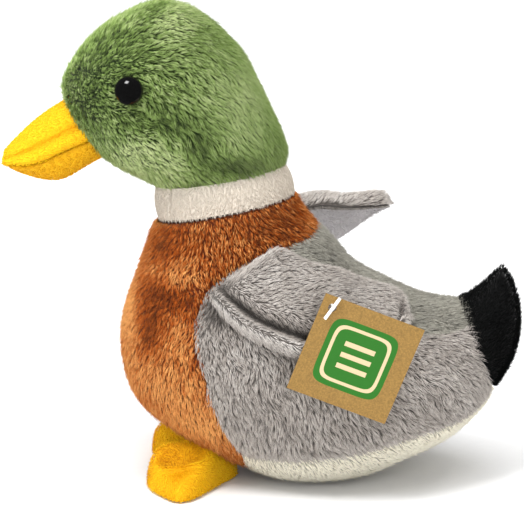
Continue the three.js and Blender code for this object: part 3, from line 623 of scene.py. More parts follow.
def node(tree, kind, inputs=(), output=0, stops=(), **values):
    """Adds a shader node, sets its values and a ramp's (place, linear colour) stops, and fills its inputs,
    given by name or in order, with constants or links. Gives one of its outputs, if it has any."""
    made = tree.nodes.new("ShaderNode" + kind)
    for key, value in values.items():
        setattr(made, key, value)
    if stops:
        points = made.color_ramp.elements
        while len(points) < len(stops):
            points.new(0.5)
        for point, (place, rgb) in zip(points, stops):
            point.position = place
            point.color = (*rgb, 1)
    for key, value in (inputs.items() if isinstance(inputs, dict) else enumerate(inputs)):
        if isinstance(value, bpy.types.NodeSocket):
            tree.links.new(value, made.inputs[key])
        else:
            made.inputs[key].default_value = value
    return made.outputs[output] if len(made.outputs) else None


def scaled(rgb, factor):
    """A linear colour made darker or lighter, and kept under one."""
    return tuple(min(c * factor, 1.0) for c in rgb)


def material(name):
    """A new material, what adds a node to it, and the place in the piece's own frame, in metres. So a
    texture's scale is in repeats on a metre, and a wave repeats 3.2 times as often."""
    made = bpy.data.materials.new(name)
    made.use_nodes = True
    made.node_tree.nodes.clear()
    add = partial(node, made.node_tree)
    return made, add, add("TexCoord", output="Object")


def shaded(made, add, **inputs):
    """The material with its shader, whose inputs are named with _ for a space."""
    shader = add("BsdfPrincipled", {key.replace("_", " "): value for key, value in inputs.items()})
    add("OutputMaterial", {"Surface": shader})
    return made


def pile_cloth(name, dark, middle, light, root, depth):
    """Polyester pile, cut from a knitted cloth and brushed: matt fibres with a soft sheen. The colour
    runs from dark to light with each strand's tone, and darkens towards its root, where little light
    comes. Noise of 5 mm and 0.6 mm breaks the dye up a little."""
    made, add, place = material(name)
    tone, height = (add("Attribute", output="Fac", attribute_name=layer) for layer in ("tone", "height"))
    broad = add("TexNoise", {"Vector": place, "Scale": 200.0, "Detail": 2.0}, "Fac")
    fine = add("TexNoise", {"Vector": place, "Scale": 1600.0, "Detail": 1.0}, "Fac")
    both = add("Math", (broad, fine), operation="ADD")
    drift = add("Math", (both, 0.2, tone), operation="MULTIPLY_ADD")
    shifted = add("Math", (drift, 0.2), operation="SUBTRACT")
    dyed = add("ValToRGB", {"Fac": shifted}, stops=(
        (0.0, scaled(dark, depth)), (0.18, dark), (0.5, middle), (1.0, light)))
    lit = add("MapRange", {"Value": height, "From Max": 0.8, "To Min": root, "To Max": 1.0})
    tint = add("Mix", {"Factor": 1.0, "A": dyed, "B": lit}, "Result", data_type="RGBA",
               blend_type="MULTIPLY")
    rough = add("MapRange", {"Value": fine, "To Min": 0.72, "To Max": 0.95})
    return shaded(made, add, Base_Color=tint, Roughness=rough, Specular_IOR_Level=0.25, Sheen_Weight=0.35,
                  Sheen_Roughness=0.55, Sheen_Tint=(*light, 1))


def backing_cloth(name, rgb):
    """Knitted polyester backing under the pile: matt, with loops 0.9 mm apart, and a painted shade between
    the loops.
    """
    made, add, place = material(name)
    loops = add("TexVoronoi", {"Vector": place, "Scale": 1100.0}, "Distance")
    tint = add("ValToRGB", {"Fac": loops}, stops=((0.0, rgb), (0.8, scaled(rgb, 0.55))))
    bump = add("Bump", {"Height": loops, "Strength": 0.5, "Distance": 0.0003}, invert=True)
    return shaded(made, add, Base_Color=tint, Normal=bump, Roughness=0.95, Sheen_Weight=0.2)


def eye_resin():
    """Moulded black acrylic, polished: deep black with a sharp highlight and faint smudges 1 mm across."""
    made, add, place = material("black_polished_acrylic")
    dust = add("TexNoise", {"Vector": place, "Scale": 900.0, "Detail": 2.0}, "Fac")
    tint = add("ValToRGB", {"Fac": dust}, stops=((0.0, (0.001, 0.001, 0.001)), (1.0, (0.003, 0.003, 0.003))))
    rough = add("MapRange", {"Value": dust, "To Min": 0.04, "To Max": 0.1})
    return shaded(made, add, Base_Color=tint, Roughness=rough, IOR=1.46, Specular_IOR_Level=0.42)


def moulded_nylon():
    """Natural nylon from a mould: a milky white with a satin skin and faint flow marks 1 mm apart."""
    made, add, place = material("white_moulded_nylon")
    milk = linear("#F3F3F0")
    flow = add("TexNoise", {"Vector": place, "Scale": 1000.0, "Detail": 1.0}, "Fac")
    tint = add("ValToRGB", {"Fac": flow}, stops=((0.2, scaled(milk, 0.92)), (0.8, milk)))
    rough = add("MapRange", {"Value": flow, "To Min": 0.3, "To Max": 0.45})
    return shaded(made, add, Base_Color=tint, Roughness=rough, Subsurface_Weight=0.15,
                  Subsurface_Scale=0.001)


def polyester_fill():
    """Carded polyester fibre: white, with curls of fibre 2 mm across and a painted shade in the hollows
    between them.
    """
    made, add, place = material("white_carded_polyester_fill")
    curls = add("TexNoise", {"Vector": place, "Scale": 500.0, "Detail": 6.0, "Distortion": 2.0}, "Fac")
    tint = add("ValToRGB", {"Fac": curls}, stops=((0.3, linear("#CFCDC8")), (0.7, linear("#F6F5F2"))))
    bump = add("Bump", {"Height": curls, "Strength": 0.6, "Distance": 0.0006})
    return shaded(made, add, Base_Color=tint, Normal=bump, Roughness=0.98, Sheen_Weight=0.3)


def calico():
    """Plain-woven unbleached cotton of the pellet bag: threads 0.5 mm apart, drawn 1.6 mm apart, with a
    painted shade between them.
    """
    made, add, place = material("unbleached_woven_cotton")
    weave = {"Vector": place, "Scale": 200.0, "Distortion": 0.4}
    threads = [add("TexWave", weave, "Fac", bands_direction=way) for way in "XY"]
    woven = add("Math", threads, operation="MAXIMUM")
    tint = add("ValToRGB", {"Fac": woven}, stops=((0.0, linear("#A39E93")), (1.0, linear("#DEDACE"))))
    bump = add("Bump", {"Height": woven, "Strength": 0.5, "Distance": 0.0002})
    return shaded(made, add, Base_Color=tint, Normal=bump, Roughness=0.92)


def kraft_card():
    """Unbleached kraft board, screen printed: brown with dark and pale fibres, drawn about 0.3 mm wide so
    that they show, and a matt ink in a generic pattern: a green square with a cream frame and three cream
    bars."""
    c = settings()[2]
    made, add, place = material("printed_kraft_board")
    turn = math.radians(TAG_TURN)
    level = np.array((0.0, 1.0, 0.0))
    middle = level * TAG_CENTRE[0] + TAG_UP * TAG_CENTRE[1]
    ways = (level * math.cos(turn) + TAG_UP * math.sin(turn),
            TAG_UP * math.cos(turn) - level * math.sin(turn))
    reached = [add("VectorMath", (place, tuple(way)), "Value", operation="DOT_PRODUCT") for way in ways]
    x, y = (add("Math", (reach, float(middle @ way) * MM), operation="SUBTRACT")
            for reach, way in zip(reached, ways))

    def square(half):
        """One inside a rounded square of that half side: the sixth powers of the distances add up to
        less than one there."""
        shares = [add("Math", (way, half * MM), operation="DIVIDE") for way in (x, y)]
        powers = [add("Math", (share, 6.0), operation="POWER") for share in shares]
        return add("Math", (add("Math", powers, operation="ADD"), 1.0), operation="LESS_THAN")

    def bar(centre, half_wide=5.6, half_high=0.9):
        """One inside a level bar."""
        wide = add("Math", (x, 0.0, half_wide * MM), operation="COMPARE")
        high = add("Math", (y, centre * MM, half_high * MM), operation="COMPARE")
        return add("Math", (wide, high), operation="MULTIPLY")

    pale = add("Math", (square(10.6), square(9.4)), operation="SUBTRACT")
    for centre in (4.2, 0.0, -4.2):
        pale = add("Math", (pale, bar(centre)), operation="MAXIMUM")
    facing = add("VectorMath", (add("NewGeometry", output="True Normal"), tuple(TAG_NORMAL)), "Value",
                 operation="DOT_PRODUCT")
    front = add("Math", (facing, 0.5), operation="GREATER_THAN")
    fibres = add("TexNoise", {"Vector": place, "Scale": 1500.0, "Detail": 3.0, "Roughness": 0.7}, "Fac")
    tint = add("ValToRGB", {"Fac": fibres}, stops=(
        (0.3, scaled(c.kraft, 0.72)), (0.5, c.kraft), (0.7, scaled(c.kraft, 1.3))))
    for printed, ink in ((square(12.6), c.print_green), (pale, c.print_cream)):
        shown = add("Math", (printed, front), operation="MULTIPLY")
        tint = add("Mix", {"Factor": shown, "A": tint, "B": (*ink, 1)}, "Result", data_type="RGBA")
    bump = add("Bump", {"Height": fibres, "Strength": 0.15, "Distance": 0.0001})
    return shaded(made, add, Base_Color=tint, Normal=bump, Roughness=0.85)


def floor_paper():
    """Pale matt studio paper, with a faint grain of 3 mm."""
    made, add, place = material("pale_studio_paper")
    grain = add("TexNoise", {"Vector": place, "Scale": 300.0}, "Fac")
    tint = add("ValToRGB", {"Fac": grain}, stops=((0.0, (0.84, 0.84, 0.84)), (1.0, (0.87, 0.87, 0.87))))
    return shaded(made, add, Base_Color=tint, Roughness=0.95)


OTHERS = {"eye": eye_resin, "nylon": moulded_nylon, "fill": polyester_fill, "calico": calico,
          "kraft": kraft_card, "floor": floor_paper}
MATERIALS = {}


def dyes_and_painted_light(name):
    """A pile's shade, middle and light, how bright its roots stay, and how deep its deepest shade is against
    its shade. The shade and the dark roots are painted shade, and the light is partly a painted highlight.
    Long pile is dark at its roots, and short pile hardly."""
    c = settings()[2]
    return {
        "green": (c.green_dark, c.green, c.green_light, 0.42, 0.45),
        "brown": (c.brown_dark, c.brown, c.brown_light, 0.42, 0.8),
        "grey": (c.grey_dark, c.grey, c.grey_light, 0.42, 0.45),
        "back": (scaled(c.back, 0.6), c.back, scaled(c.back, 1.45), 0.42, 0.45),
        "cream": (scaled(c.cream, 0.8), c.cream, scaled(c.cream, 1.15), 0.75, 0.45),
        "white": (scaled(c.white, 0.84), c.white, scaled(c.white, 1.1), 0.92, 0.8),
        "black": (scaled(c.black, 0.5), c.black, scaled(c.black, 2.5), 0.42, 0.45),
        "yellow": (c.orange, c.yellow, scaled(c.yellow, 1.25), 0.84, 0.8),
        "amber": (c.amber_dark, c.amber, scaled(c.yellow, 1.15), 0.84, 0.8),
        # The velour under the bill and feet is the yellow made darker, a painted shade.
        "orange": (scaled(c.orange, 0.75), scaled(c.yellow, 0.9), scaled(c.yellow, 1.1), 0.84, 0.8),
        "lining": (scaled(c.lining, 0.75), c.lining, scaled(c.lining, 1.25), 0.84, 0.8),
    }[name]


def finish(name):
    """The material of that name, made when it is first asked for."""
    if name not in MATERIALS:
        if name in OTHERS:
            MATERIALS[name] = OTHERS[name]()
        elif name.endswith("_backing"):
            # The backing takes its pile's shade, darker still: painted shade seen between the strands.
            shade = dyes_and_painted_light(name.removesuffix("_backing"))[0]
            MATERIALS[name] = backing_cloth(name + "_knitted_polyester", scaled(shade, 0.9))
        else:
            MATERIALS[name] = pile_cloth(name + "_brushed_polyester_pile", *dyes_and_painted_light(name))
    return MATERIALS[name]


# Pieces

def cover(part, cloth, place, steps, flow, seed, sides=PAIR, dips=(0, 0, 0, 0), sleeve="body", **pile):
    """A panel of pile cloth, or one for each side: a thin backing that sinks a little at the seams, and
    its pile. place turns the grid's shares into a place along the sleeve and a turn round it. The dip at
    an edge is a bell curve of the distance from it."""
    outward = SLEEVES[sleeve][2]
    u, v = grid(*steps)
    t, turn = place(u, v)
    top = surface(sleeve, t, turn, BACKING_LIFT)
    sink = sum(dip * bell(edge, 0, DIP_SHARE) for dip, edge in zip(dips, (u, 1 - u, v, 1 - v)))
    down = normals_of(top, outward) * sink[..., None]
    top, under = top - down, surface(sleeve, t, turn, BACKING_INSIDE) - down
    for number, side in enumerate(sides):
        end = "_" + side if side else ""
        form = Form()
        form.sheet(top, outward)
        form.sheet(under, -outward, bottom=STRIP)
        grow(form, top, outward, flow, seed + number, **pile)
        if side == "right":
            form.moved(mirrored)
        item = form.build(part + "_pile" + end, cloth + "_backing", cloth)
        settle(item, "body", cloth + "_pile", part + "_cover" + end, fill=0.8)


class PlushOperator(bpy.types.Operator):
    """Common to the operators that make pieces."""
    bl_options = {"REGISTER", "UNDO"}


class PLUSH_OT_head(PlushOperator):
    """The two halves of the head: long green pile that runs from the face over the crown and down"""
    bl_idname = "plush.head"
    bl_label = "Head"

    def execute(self, context):
        # The pile fans out from a point before the face. Behind the eye it runs down and lies smoother.
        face = np.array((0.0, -84.0, 138.0))
        # Lighter and darker patches of the pile, partly painted light and shade.
        tone = patches([(-77, 144, 6, 7, -0.14), (-54, 135.5, 8, 6, -0.3), (-58.5, 172, 5, 3.5, -0.18),
                        (-68, 160, 8, 6, -0.1), (-30, 120.5, 13, 4.5, -0.3), (-41, 129, 4, 8, -0.3),
                        (-62, 125, 11, 7.5, 0.4), (-49, 120, 9, 5, 0.2), (-50, 170, 9, 7, 0.28),
                        (-27.6, 142, 12, 14, 0.26), (-72, 150, 14, 16, -0.08)], 0.48)

        def flow(p):
            back = np.clip((p[:, 1:2] + 70) / 40, 0, 1)
            return unit(p - face) * (1 - 0.5 * back) + np.array((0.0, 0.45, -0.9)) * (0.35 + 0.6 * back)

        def rough(p):
            return 0.9 - 0.65 * np.clip((p[:, 1] + 50) / 24, 0, 1)

        cover("head", "green", lambda u, v: (u * (len(HEAD_ROWS) - 1), math.pi * v), (90, 72), flow, 101,
              sleeve="head", tone=tone, rough=rough)
        return {"FINISHED"}


def breast_corner():
    """The turn where the breast seam meets the belly seam, found by going half way each time."""
    corner = BELLY_SEAM[0, 1]
    for _ in range(ROUNDS):
        corner = (corner + along(BELLY_SEAM, along(BREAST_SEAM, corner))) / 2
    return float(corner)


class PLUSH_OT_breast(PlushOperator):
    """The two halves of the breast: brown pile that hangs down, in darker and lighter patches, partly where
    it was brushed up and partly painted shade and light
    """
    bl_idname = "plush.breast"
    bl_label = "Breast"

    def execute(self, context):
        def place(u, v):
            turn = 180 * v
            angle = BODY_ROWS[0, 0] + (along(BREAST_SEAM, turn) - BODY_ROWS[0, 0]) * u
            return place_of(BODY_ROWS, angle), np.radians(turn)

        # Darker and lighter patches of the pile, partly painted shade and light.
        tone = patches([(-51.5, 91, 5, 6, -0.32), (-51.5, 72.6, 10, 4.5, -0.36), (-58, 62, 4.5, 8, -0.34),
                        (-33, 92, 9, 6, 0.1), (-14, 97, 12, 9, -0.2), (-47, 80, 6, 5, 0.26),
                        (-47, 61, 5, 7, 0.3), (-66, 70, 5, 20, 0.6), (-56, 97, 5, 5, 0.3),
                        (-49, 40, 15, 11, 0.42), (-40, 25, 13, 8, 0.42)], 0.47)

        def ridged(p):
            """Below the collar the pile stands in fine upright ridges, given only as painted light and shade:
            a sine of the tone along the body, whose lines noise bends."""
            across = p[:, 1] + 0.8 * noise(p, 5.0, 223)
            share = np.clip((p[:, 2] - 68) / 9, 0, 1) * np.clip((p[:, 1] + 50) / 8, 0, 1)
            return tone(p) + 0.26 * share * np.sin(2 * math.pi * across / RIDGE_SPACING)

        cover("breast", "brown", place, (60, 90), steady(0, 0.25, -1), 211, dips=(0, 0.7, 0, 0),
              tone=ridged, rough=0.85, curl=0.6)
        return {"FINISHED"}


class PLUSH_OT_sides(PlushOperator):
    """The two flanks: long grey pile that lies down and to the back"""
    bl_idname = "plush.sides"
    bl_label = "Sides"

    def execute(self, context):
        corner = breast_corner()

        def place(u, v):
            turn = BACK_SEAM + (corner - BACK_SEAM) * v
            for _ in range(ROUNDS):
                start = along(BREAST_SEAM, turn)
                angle = start + (TAIL_SEAM - start) * u
                low = along(BELLY_SEAM, angle)
                turn = (turn + BACK_SEAM + (low - BACK_SEAM) * v) / 2
            return place_of(BODY_ROWS, angle), np.radians(turn)

        def flow(p):
            """Down and to the back, and more to the back further along."""
            return np.array((0.0, 0.65, -1.0)) + 0.01 * p[:, 1:2] * (0.0, 1.0, 0.0)

        # The darkest patch, just under the wing's rim, is the wing's painted shadow; the others are lighter
        # and darker pile.
        tone = patches([(-34, 69, 6, 6, -0.34), (-20, 55, 12, 8, 0.14), (-12, 34, 12, 7, -0.08)], 0.5)
        cover("side", "grey", place, (100, 70), flow, 307, dips=(0.7, 0.7, 0.5, 0.7), tone=tone, rough=0.62)
        return {"FINISHED"}


class PLUSH_OT_back(PlushOperator):
    """The back: smooth grey-green pile that lies towards the tail"""
    bl_idname = "plush.back"
    bl_label = "Back"

    def execute(self, context):
        def place(u, v):
            turn = BACK_SEAM * (2 * v - 1)
            start = along(BREAST_SEAM, np.abs(turn))
            return place_of(BODY_ROWS, start + (TAIL_SEAM - start) * u), np.radians(turn)

        def flow(p):
            """To the tail, and a little outward on each side."""
            return np.sign(p) * (0.25, 0.0, 0.0) + (0.0, 1.0, 0.0)

        cover("back", "back", place, (80, 70), flow, 401, sides=("",), dips=(0.6, 0.6, 0.5, 0.5), tone=0.44,
              rough=0.7)
        return {"FINISHED"}


class PLUSH_OT_belly(PlushOperator):
    """The belly: cream pile, pressed flat where the toy sits"""
    bl_idname = "plush.belly"
    bl_label = "Belly"

    def execute(self, context):
        corner = breast_corner()

        def place(u, v):
            turn = corner + (360 - 2 * corner) * v
            for _ in range(ROUNDS):
                start = along(BREAST_SEAM, 180 - np.abs(180 - turn))
                angle = start + (TAIL_SEAM - start) * u
                edge = along(BELLY_SEAM, angle)
                turn = (turn + edge + (360 - 2 * edge) * v) / 2
            return place_of(BODY_ROWS, angle), np.radians(turn)

        cover("belly", "cream", place, (80, 70), steady(0, 1.15, -1), 409, sides=("",),
              dips=(0.6, 0.6, 0.6, 0.6), tone=0.85, rough=0.2, density=1.85, height=1.9, reach=2.6,
              width=0.42)
        return {"FINISHED"}


class PLUSH_OT_tail(PlushOperator):
    """The two halves of the tail: black pile that runs up to the tip"""
    bl_idname = "plush.tail"
    bl_label = "Tail"

    def execute(self, context):
        start = float(place_of(BODY_ROWS, np.array(TAIL_SEAM)))
        last = len(BODY_ROWS) - 1.5
        cover("tail", "black", lambda u, v: (start + (last - start) * u, math.pi * v), (40, 40),
              steady(0, 0.5, 1), 503, dips=(0.6, 0, 0, 0), tone=0.45, rough=0.5, reach=1.6)
        return {"FINISHED"}


class PLUSH_OT_collar(PlushOperator):
    """The collar: a band of short off-white velour with its joining seam on the left of the throat"""
    bl_idname = "plush.collar"
    bl_label = "Collar"

    def execute(self, context):
        u, v = grid(24, 220)
        turn = 2 * math.pi * v
        # The band bulges half a sine high between its edges, and sinks at its joining seam.
        bulge, seam = 0.8 * np.sin(math.pi * u), bell(turn, math.radians(138), 0.035)
        top = surface("neck", u, turn, -1.1 + bulge - seam)
        form = Form()
        form.sheet(top, tone=0.55)
        form.sheet(surface("neck", u, turn, -2.6), -1, tone=0.5, bottom=STRIP)
        grow(form, top, 1, steady(0, 0.3, -1), 601, height=0.12, reach=1.4, width=0.38, density=3.8,
             rough=0.1, clump=False)
        settle(form.build("collar_pile", "white", "white"), "body", "white_pile", "collar_band", fill=0.5)
        return {"FINISHED"}


class PLUSH_OT_eyes(PlushOperator):
    """The two eyes: polished black domes with their shanks"""
    bl_idname = "plush.eyes"
    bl_label = "Eyes"

    def execute(self, context):
        radius = settings()[0].eye_diameter / MM / 2
        at = place_of(HEAD_ROWS, np.array(EYE_HEIGHT))
        turn = np.array(math.radians(EYE_TURN))
        # The seat is a little over the cover's finished surface, and the shank runs square into it.
        seat = surface("head", at, turn, 0.35)
        axis = unit(seat - surface("head", at, turn, -1.0))
        side = unit(np.cross(axis, (0.0, 0.0, 1.0)))
        up = np.cross(side, axis)
        # The dome is a quarter of an ellipse, then come a thin rim, the dished back and the shank.
        swing = np.linspace(0, math.pi / 2, 22)
        dome = np.stack([radius * np.sin(swing), DOME_HEIGHT * np.cos(swing)], -1)
        rest = np.array([(radius * 0.995, -0.2), (radius * 0.96, -0.45), (radius * 0.9, -0.5), (1.6, 0.5),
                         (1.5, 0.3), (1.5, -6.9), (1.3, -7.2), (0, -7.2)])
        profile = np.vstack([dome, rest])
        turns = np.linspace(0, 2 * math.pi, 65)
        ring = (profile[:, None, :1] * (np.cos(turns)[None, :, None] * side
                                        + np.sin(turns)[None, :, None] * up)
                + profile[:, None, 1:] * axis + seat)
        for name in PAIR:
            form = Form()
            form.sheet(ring[:, :-1], high=1.0, closed=True)
            if name == "right":
                form.moved(mirrored)
            settle(form.build("eye_dome_" + name, "eye"), "body", "eye_plastic", "eye_" + name)
            frame["nodes"]["eye_washer_" + name].data.materials[0] = finish("nylon")
        return {"FINISHED"}


class PLUSH_OT_bill(PlushOperator):
    """The bill: a flat upper half with a rolled rim along its groove, and a soft lower half"""
    bl_idname = "plush.bill"
    bl_label = "Bill"

    def execute(self, context):
        rows = len(BILL_ROWS) - 1
        u, v = grid(56, 96)
        y, top, mouth, under, half = np.moveaxis(row_at(BILL_ROWS, u * rows), -1, 0)
        # The profile runs from the middle of the mouth out over the rim to the ridge, and back mirrored.
        share = 1 - np.abs(2 * v - 1)
        spot = row_at(BILL_PROFILE, share * (len(BILL_PROFILE) - 1))
        side = np.where(v <= 0.5, 1, -1)
        # The tip rounds off in a quarter of a circle that ends just past the last ring, down to 35% of the
        # width and 60% of the height.
        end = np.sqrt(1 - np.clip((u - BILL_END) / (1.0001 - BILL_END), 0, 1) ** 2)
        x = side * spot[..., 0] * half * (0.35 + 0.65 * end)
        middle = mouth + (top - mouth) * 0.45
        z = middle + (mouth + (top - mouth) * spot[..., 1] - middle) * (0.6 + 0.4 * end)
        upper = np.stack([x, y, z], -1)
        # The lower half is an ellipse that is nearly flat on top.
        swing = 2 * math.pi * v
        flat = np.where(np.cos(swing) < 0, 0.12, 1.0)
        lower = np.stack([0.97 * half * np.sin(swing) * end, y + 0 * v,
                          mouth + 0.25 - (mouth - under) * flat * np.cos(swing) * end], -1)
        outer = spot[..., 0] > 0.6
        groove, roll = bell(spot[..., 1], 0.38, 0.05) * outer, bell(spot[..., 1], 0.15, 0.12) * outer
        # Painted shade darkens the groove, most towards the head, and the lower half towards its outer edge
        # under the upper rim; the rolled rim gets a painted highlight.
        upper_tone = 0.68 - 0.5 * groove * (1 - u) + 0.12 * roll
        lower_tone = 0.44 - 0.15 * (1 - np.abs(np.cos(swing)))
        for name, shape, cloth, shade, rim, seed in (("upper", upper, "yellow", upper_tone, roll, 701),
                                                     ("lower", lower, "orange", lower_tone, 0 * u, 709)):
            # The grid's normals point outward if they add up to a volume above zero.
            volume = np.sum(np.cross(np.gradient(shape, axis=0), np.gradient(shape, axis=1))
                            * (shape - shape.mean((0, 1))))
            outward = 1 if volume > 0 else -1
            core = shape - 0.8 * normals_of(shape, outward)
            form = Form()
            form.sheet(core, outward, tone=0.5, bottom=STRIP / 4, high=1.75 * STRIP)
            ends = np.stack([np.broadcast_to(core[-1].mean(0), core[-1].shape), core[-1]])
            form.sheet(ends, -outward, tone=0.5, high=STRIP / 4)
            grow(form, core, outward, steady(0, -1, 0.35), seed, height=0.95, reach=1.3, width=0.29,
                 density=4.0, tone=shade, length_share=0.6 + 0.55 * rim)
            settle(form.build("bill_velour_" + name, cloth, cloth), "body", cloth + "_pile",
                   "bill_" + name, fill=0.8)
        return {"FINISHED"}


def wing_point(a, b, lift):
    """A point over the body at shares along and across the wing, lifted off it."""
    ends = row_at(WING_ROWS, a * (len(WING_ROWS) - 1))
    top_angle, top_turn, low_angle, low_turn = np.moveaxis(ends, -1, 0)
    angle = top_angle + (low_angle - top_angle) * b
    turn = top_turn + (low_turn - top_turn) * b
    return surface("body", place_of(BODY_ROWS, angle), np.radians(turn), lift)


def turned(points, axis, degrees):
    """Points turned about an axis through zero, by the right-hand rule."""
    angle = np.radians(degrees)
    return (points * np.cos(angle) + np.cross(axis, points) * np.sin(angle)
            + axis * dot(points, axis) * (1 - np.cos(angle)))


def opened(points):
    """The left wing's points sent to the right one as it stands: twisted about the line along it, more
    the further from the root, then mirrored and opened about the seam."""
    # A line from the seam to the tip, over the middle of the wing
    line = unit(wing_point(np.array(0.9), np.array(0.5), 6.95) - WING_PIVOT)
    p = points - WING_PIVOT
    share = np.clip(dot(p, line) / WING_TWIST_LENGTH, 0, 1)
    p = turned(p, line, WING_TWIST * eased(share))
    across = np.array((-1.0, 1.0, 1.0))
    return WING_PIVOT * across + turned(p * across, unit(WING_AXIS * across), WING_OPEN)


class PLUSH_OT_wings(PlushOperator):
    """The wings: padded grey pile outside with a groove and a rolled rim, and a smooth lining"""
    bl_idname = "plush.wings"
    bl_label = "Wings"

    def execute(self, context):
        a, b = grid(72, 64)
        # The grid is finer at the edges and at the tip.
        b = 0.5 - 0.5 * np.cos(math.pi * b)
        a = np.sin(math.pi / 2 * a) * 0.35 + a * 0.65
        # The groove runs from the nose along the lower edge, and a second one lies across the tip.
        low = 0.815 + 0.1 * np.exp(-a / 0.12)
        groove = np.maximum(bell(b, low, 0.07) * risen(a + 0.02, 0.06),
                            0.9 * bell(a, 0.9, 0.03) * risen(b - 0.12, 0.3) * risen(1 - b, 0.2))
        # The pad is a thin sheet that swells 4.8 mm, less in the groove. A roll of 3 mm runs along its
        # lower edge, and it is 1.8 mm thicker where the fastener is held.
        body = risen(a, 0.16) * risen(1 - a, 0.12) * risen(b + 0.03, 0.12) * risen(1 - b, 0.1)
        roll = bell(b, 0.6 + 0.4 * low, 0.25 * (1 - low)) * risen(a, 0.05) * risen(1 - a, 0.12)
        holder = bell(a, FASTENER_SPOT[0], 0.1) * bell(b, FASTENER_SPOT[1], 0.2)
        pad = 1.3 + 4.8 * (1 - 0.97 * groove) * body + 3.0 * roll + 1.8 * holder
        edge = np.sqrt((1 - np.abs(2 * b - 1) ** 9) * (1 - a ** 24))
        # At the root the pad lies closer to the body, because no lining is under it there.
        under = 0.65 + 1.9 * np.clip(a * 12, 0, 1)

        def corner(a, b, last):
            """How wide the rounded tip still is at a, as on a curve whose two distances, each raised to the
            power 2.5, add up to one. It is rounder towards the lower edge."""
            start = np.where(b > 0.5, last - 0.34, last - 0.22)
            return (1 - np.clip((a - start) / (last + 1e-4 - start), 0, 1) ** 2.5) ** (1 / 2.5)

        # The pad's backing is 1.4 mm under its finished surface. Its grid is drawn in from the wing's edge.
        aa, bb = 0.01 + 0.965 * a, 0.5 + 0.93 * (b - 0.5) * corner(a, b, 1.0)
        core = wing_point(aa, bb, under + np.maximum(pad - 1.4, 0.35) * edge)
        base = wing_point(aa, bb, under)
        # Painted shade darkens the groove; the roll and a band at the tip are lighter.
        shade = 0.6 - 0.85 * groove + 0.36 * roll + 0.14 * bell(a, 0.97, 0.03)
        la, lb = grid(40, 40)
        la, lb = 0.1 + 0.835 * la, 0.095 + 0.87 * lb
        lb = 0.5 + (lb - 0.5) * corner(la, lb, 0.96)
        # The lining is 1.25 mm thick and starts 1.45 mm over the body's finished surface.
        lining_out, lining_in = wing_point(la, lb, 2.7), wing_point(la, lb, 1.45)
        # The grid's normals point outward if the one in the middle points to +X.
        out = 1 if normals_of(core)[36, 32, 0] > 0 else -1
        nap = steady(0, 1, -0.3)
        # Pile wraps round the upper edge and the tip, as far as the lining and over its edge.
        wrap = dict(height=1.4, width=0.26, rough=0.4, floor=NO_FLOOR)
        for seed, side in enumerate(PAIR):
            form = Form()
            form.sheet(core, out)
            form.sheet(base, -out, bottom=STRIP)
            grow(form, core, out, nap, 811 + seed, height=1.9, reach=2.8, width=0.28, density=4.5,
                 rough=0.36, tone=shade, floor=NO_FLOOR, length_share=1 - 0.6 * groove)
            grow(form, base[:, :13], -out, steady(0, 0.5, -1), 815 + seed, reach=1.5, **wrap)
            grow(form, base[-13:, 13:], -out, steady(0, -1, 0), 818 + seed, reach=1.3, **wrap)
            lining = Form()
            lining.sheet(lining_out, out, tone=0.5)
            lining.sheet(lining_in, -out, tone=0.5, bottom=STRIP)
            grow(lining, lining_in, -out, nap, 821 + seed, height=0.4, reach=1.4, width=0.34, density=1.6,
                 rough=0.3, clump=False, floor=NO_FLOOR)
            if side == "right":
                form.moved(opened)
                lining.moved(opened)
            settle(form.build("wing_pile_" + side, "grey_backing", "grey"), "wing_" + side, "grey_pile",
                   f"wing_{side}_cover", fill=0.7)
            settle(lining.build("wing_nap_" + side, "lining", "lining"), "wing_" + side, "lining_cloth",
                   f"wing_{side}_lining", fill=0.2)
        return {"FINISHED"}


def foot_rim(around):
    """The outline of the web: a closed smooth curve through its points, at shares round it."""
    n = len(FOOT_OUTLINE)
    t = (np.asarray(around) % 1) * n
    i = np.floor(t).astype(int)
    return through(*(FOOT_OUTLINE[(i + k) % n] for k in (-1, 0, 1, 2)), (t - i)[..., None])


def at_height(xy, z):
    """Points of a plan, at a height."""
    return np.concatenate([xy, np.broadcast_to(z, xy.shape[:-1])[..., None]], -1)


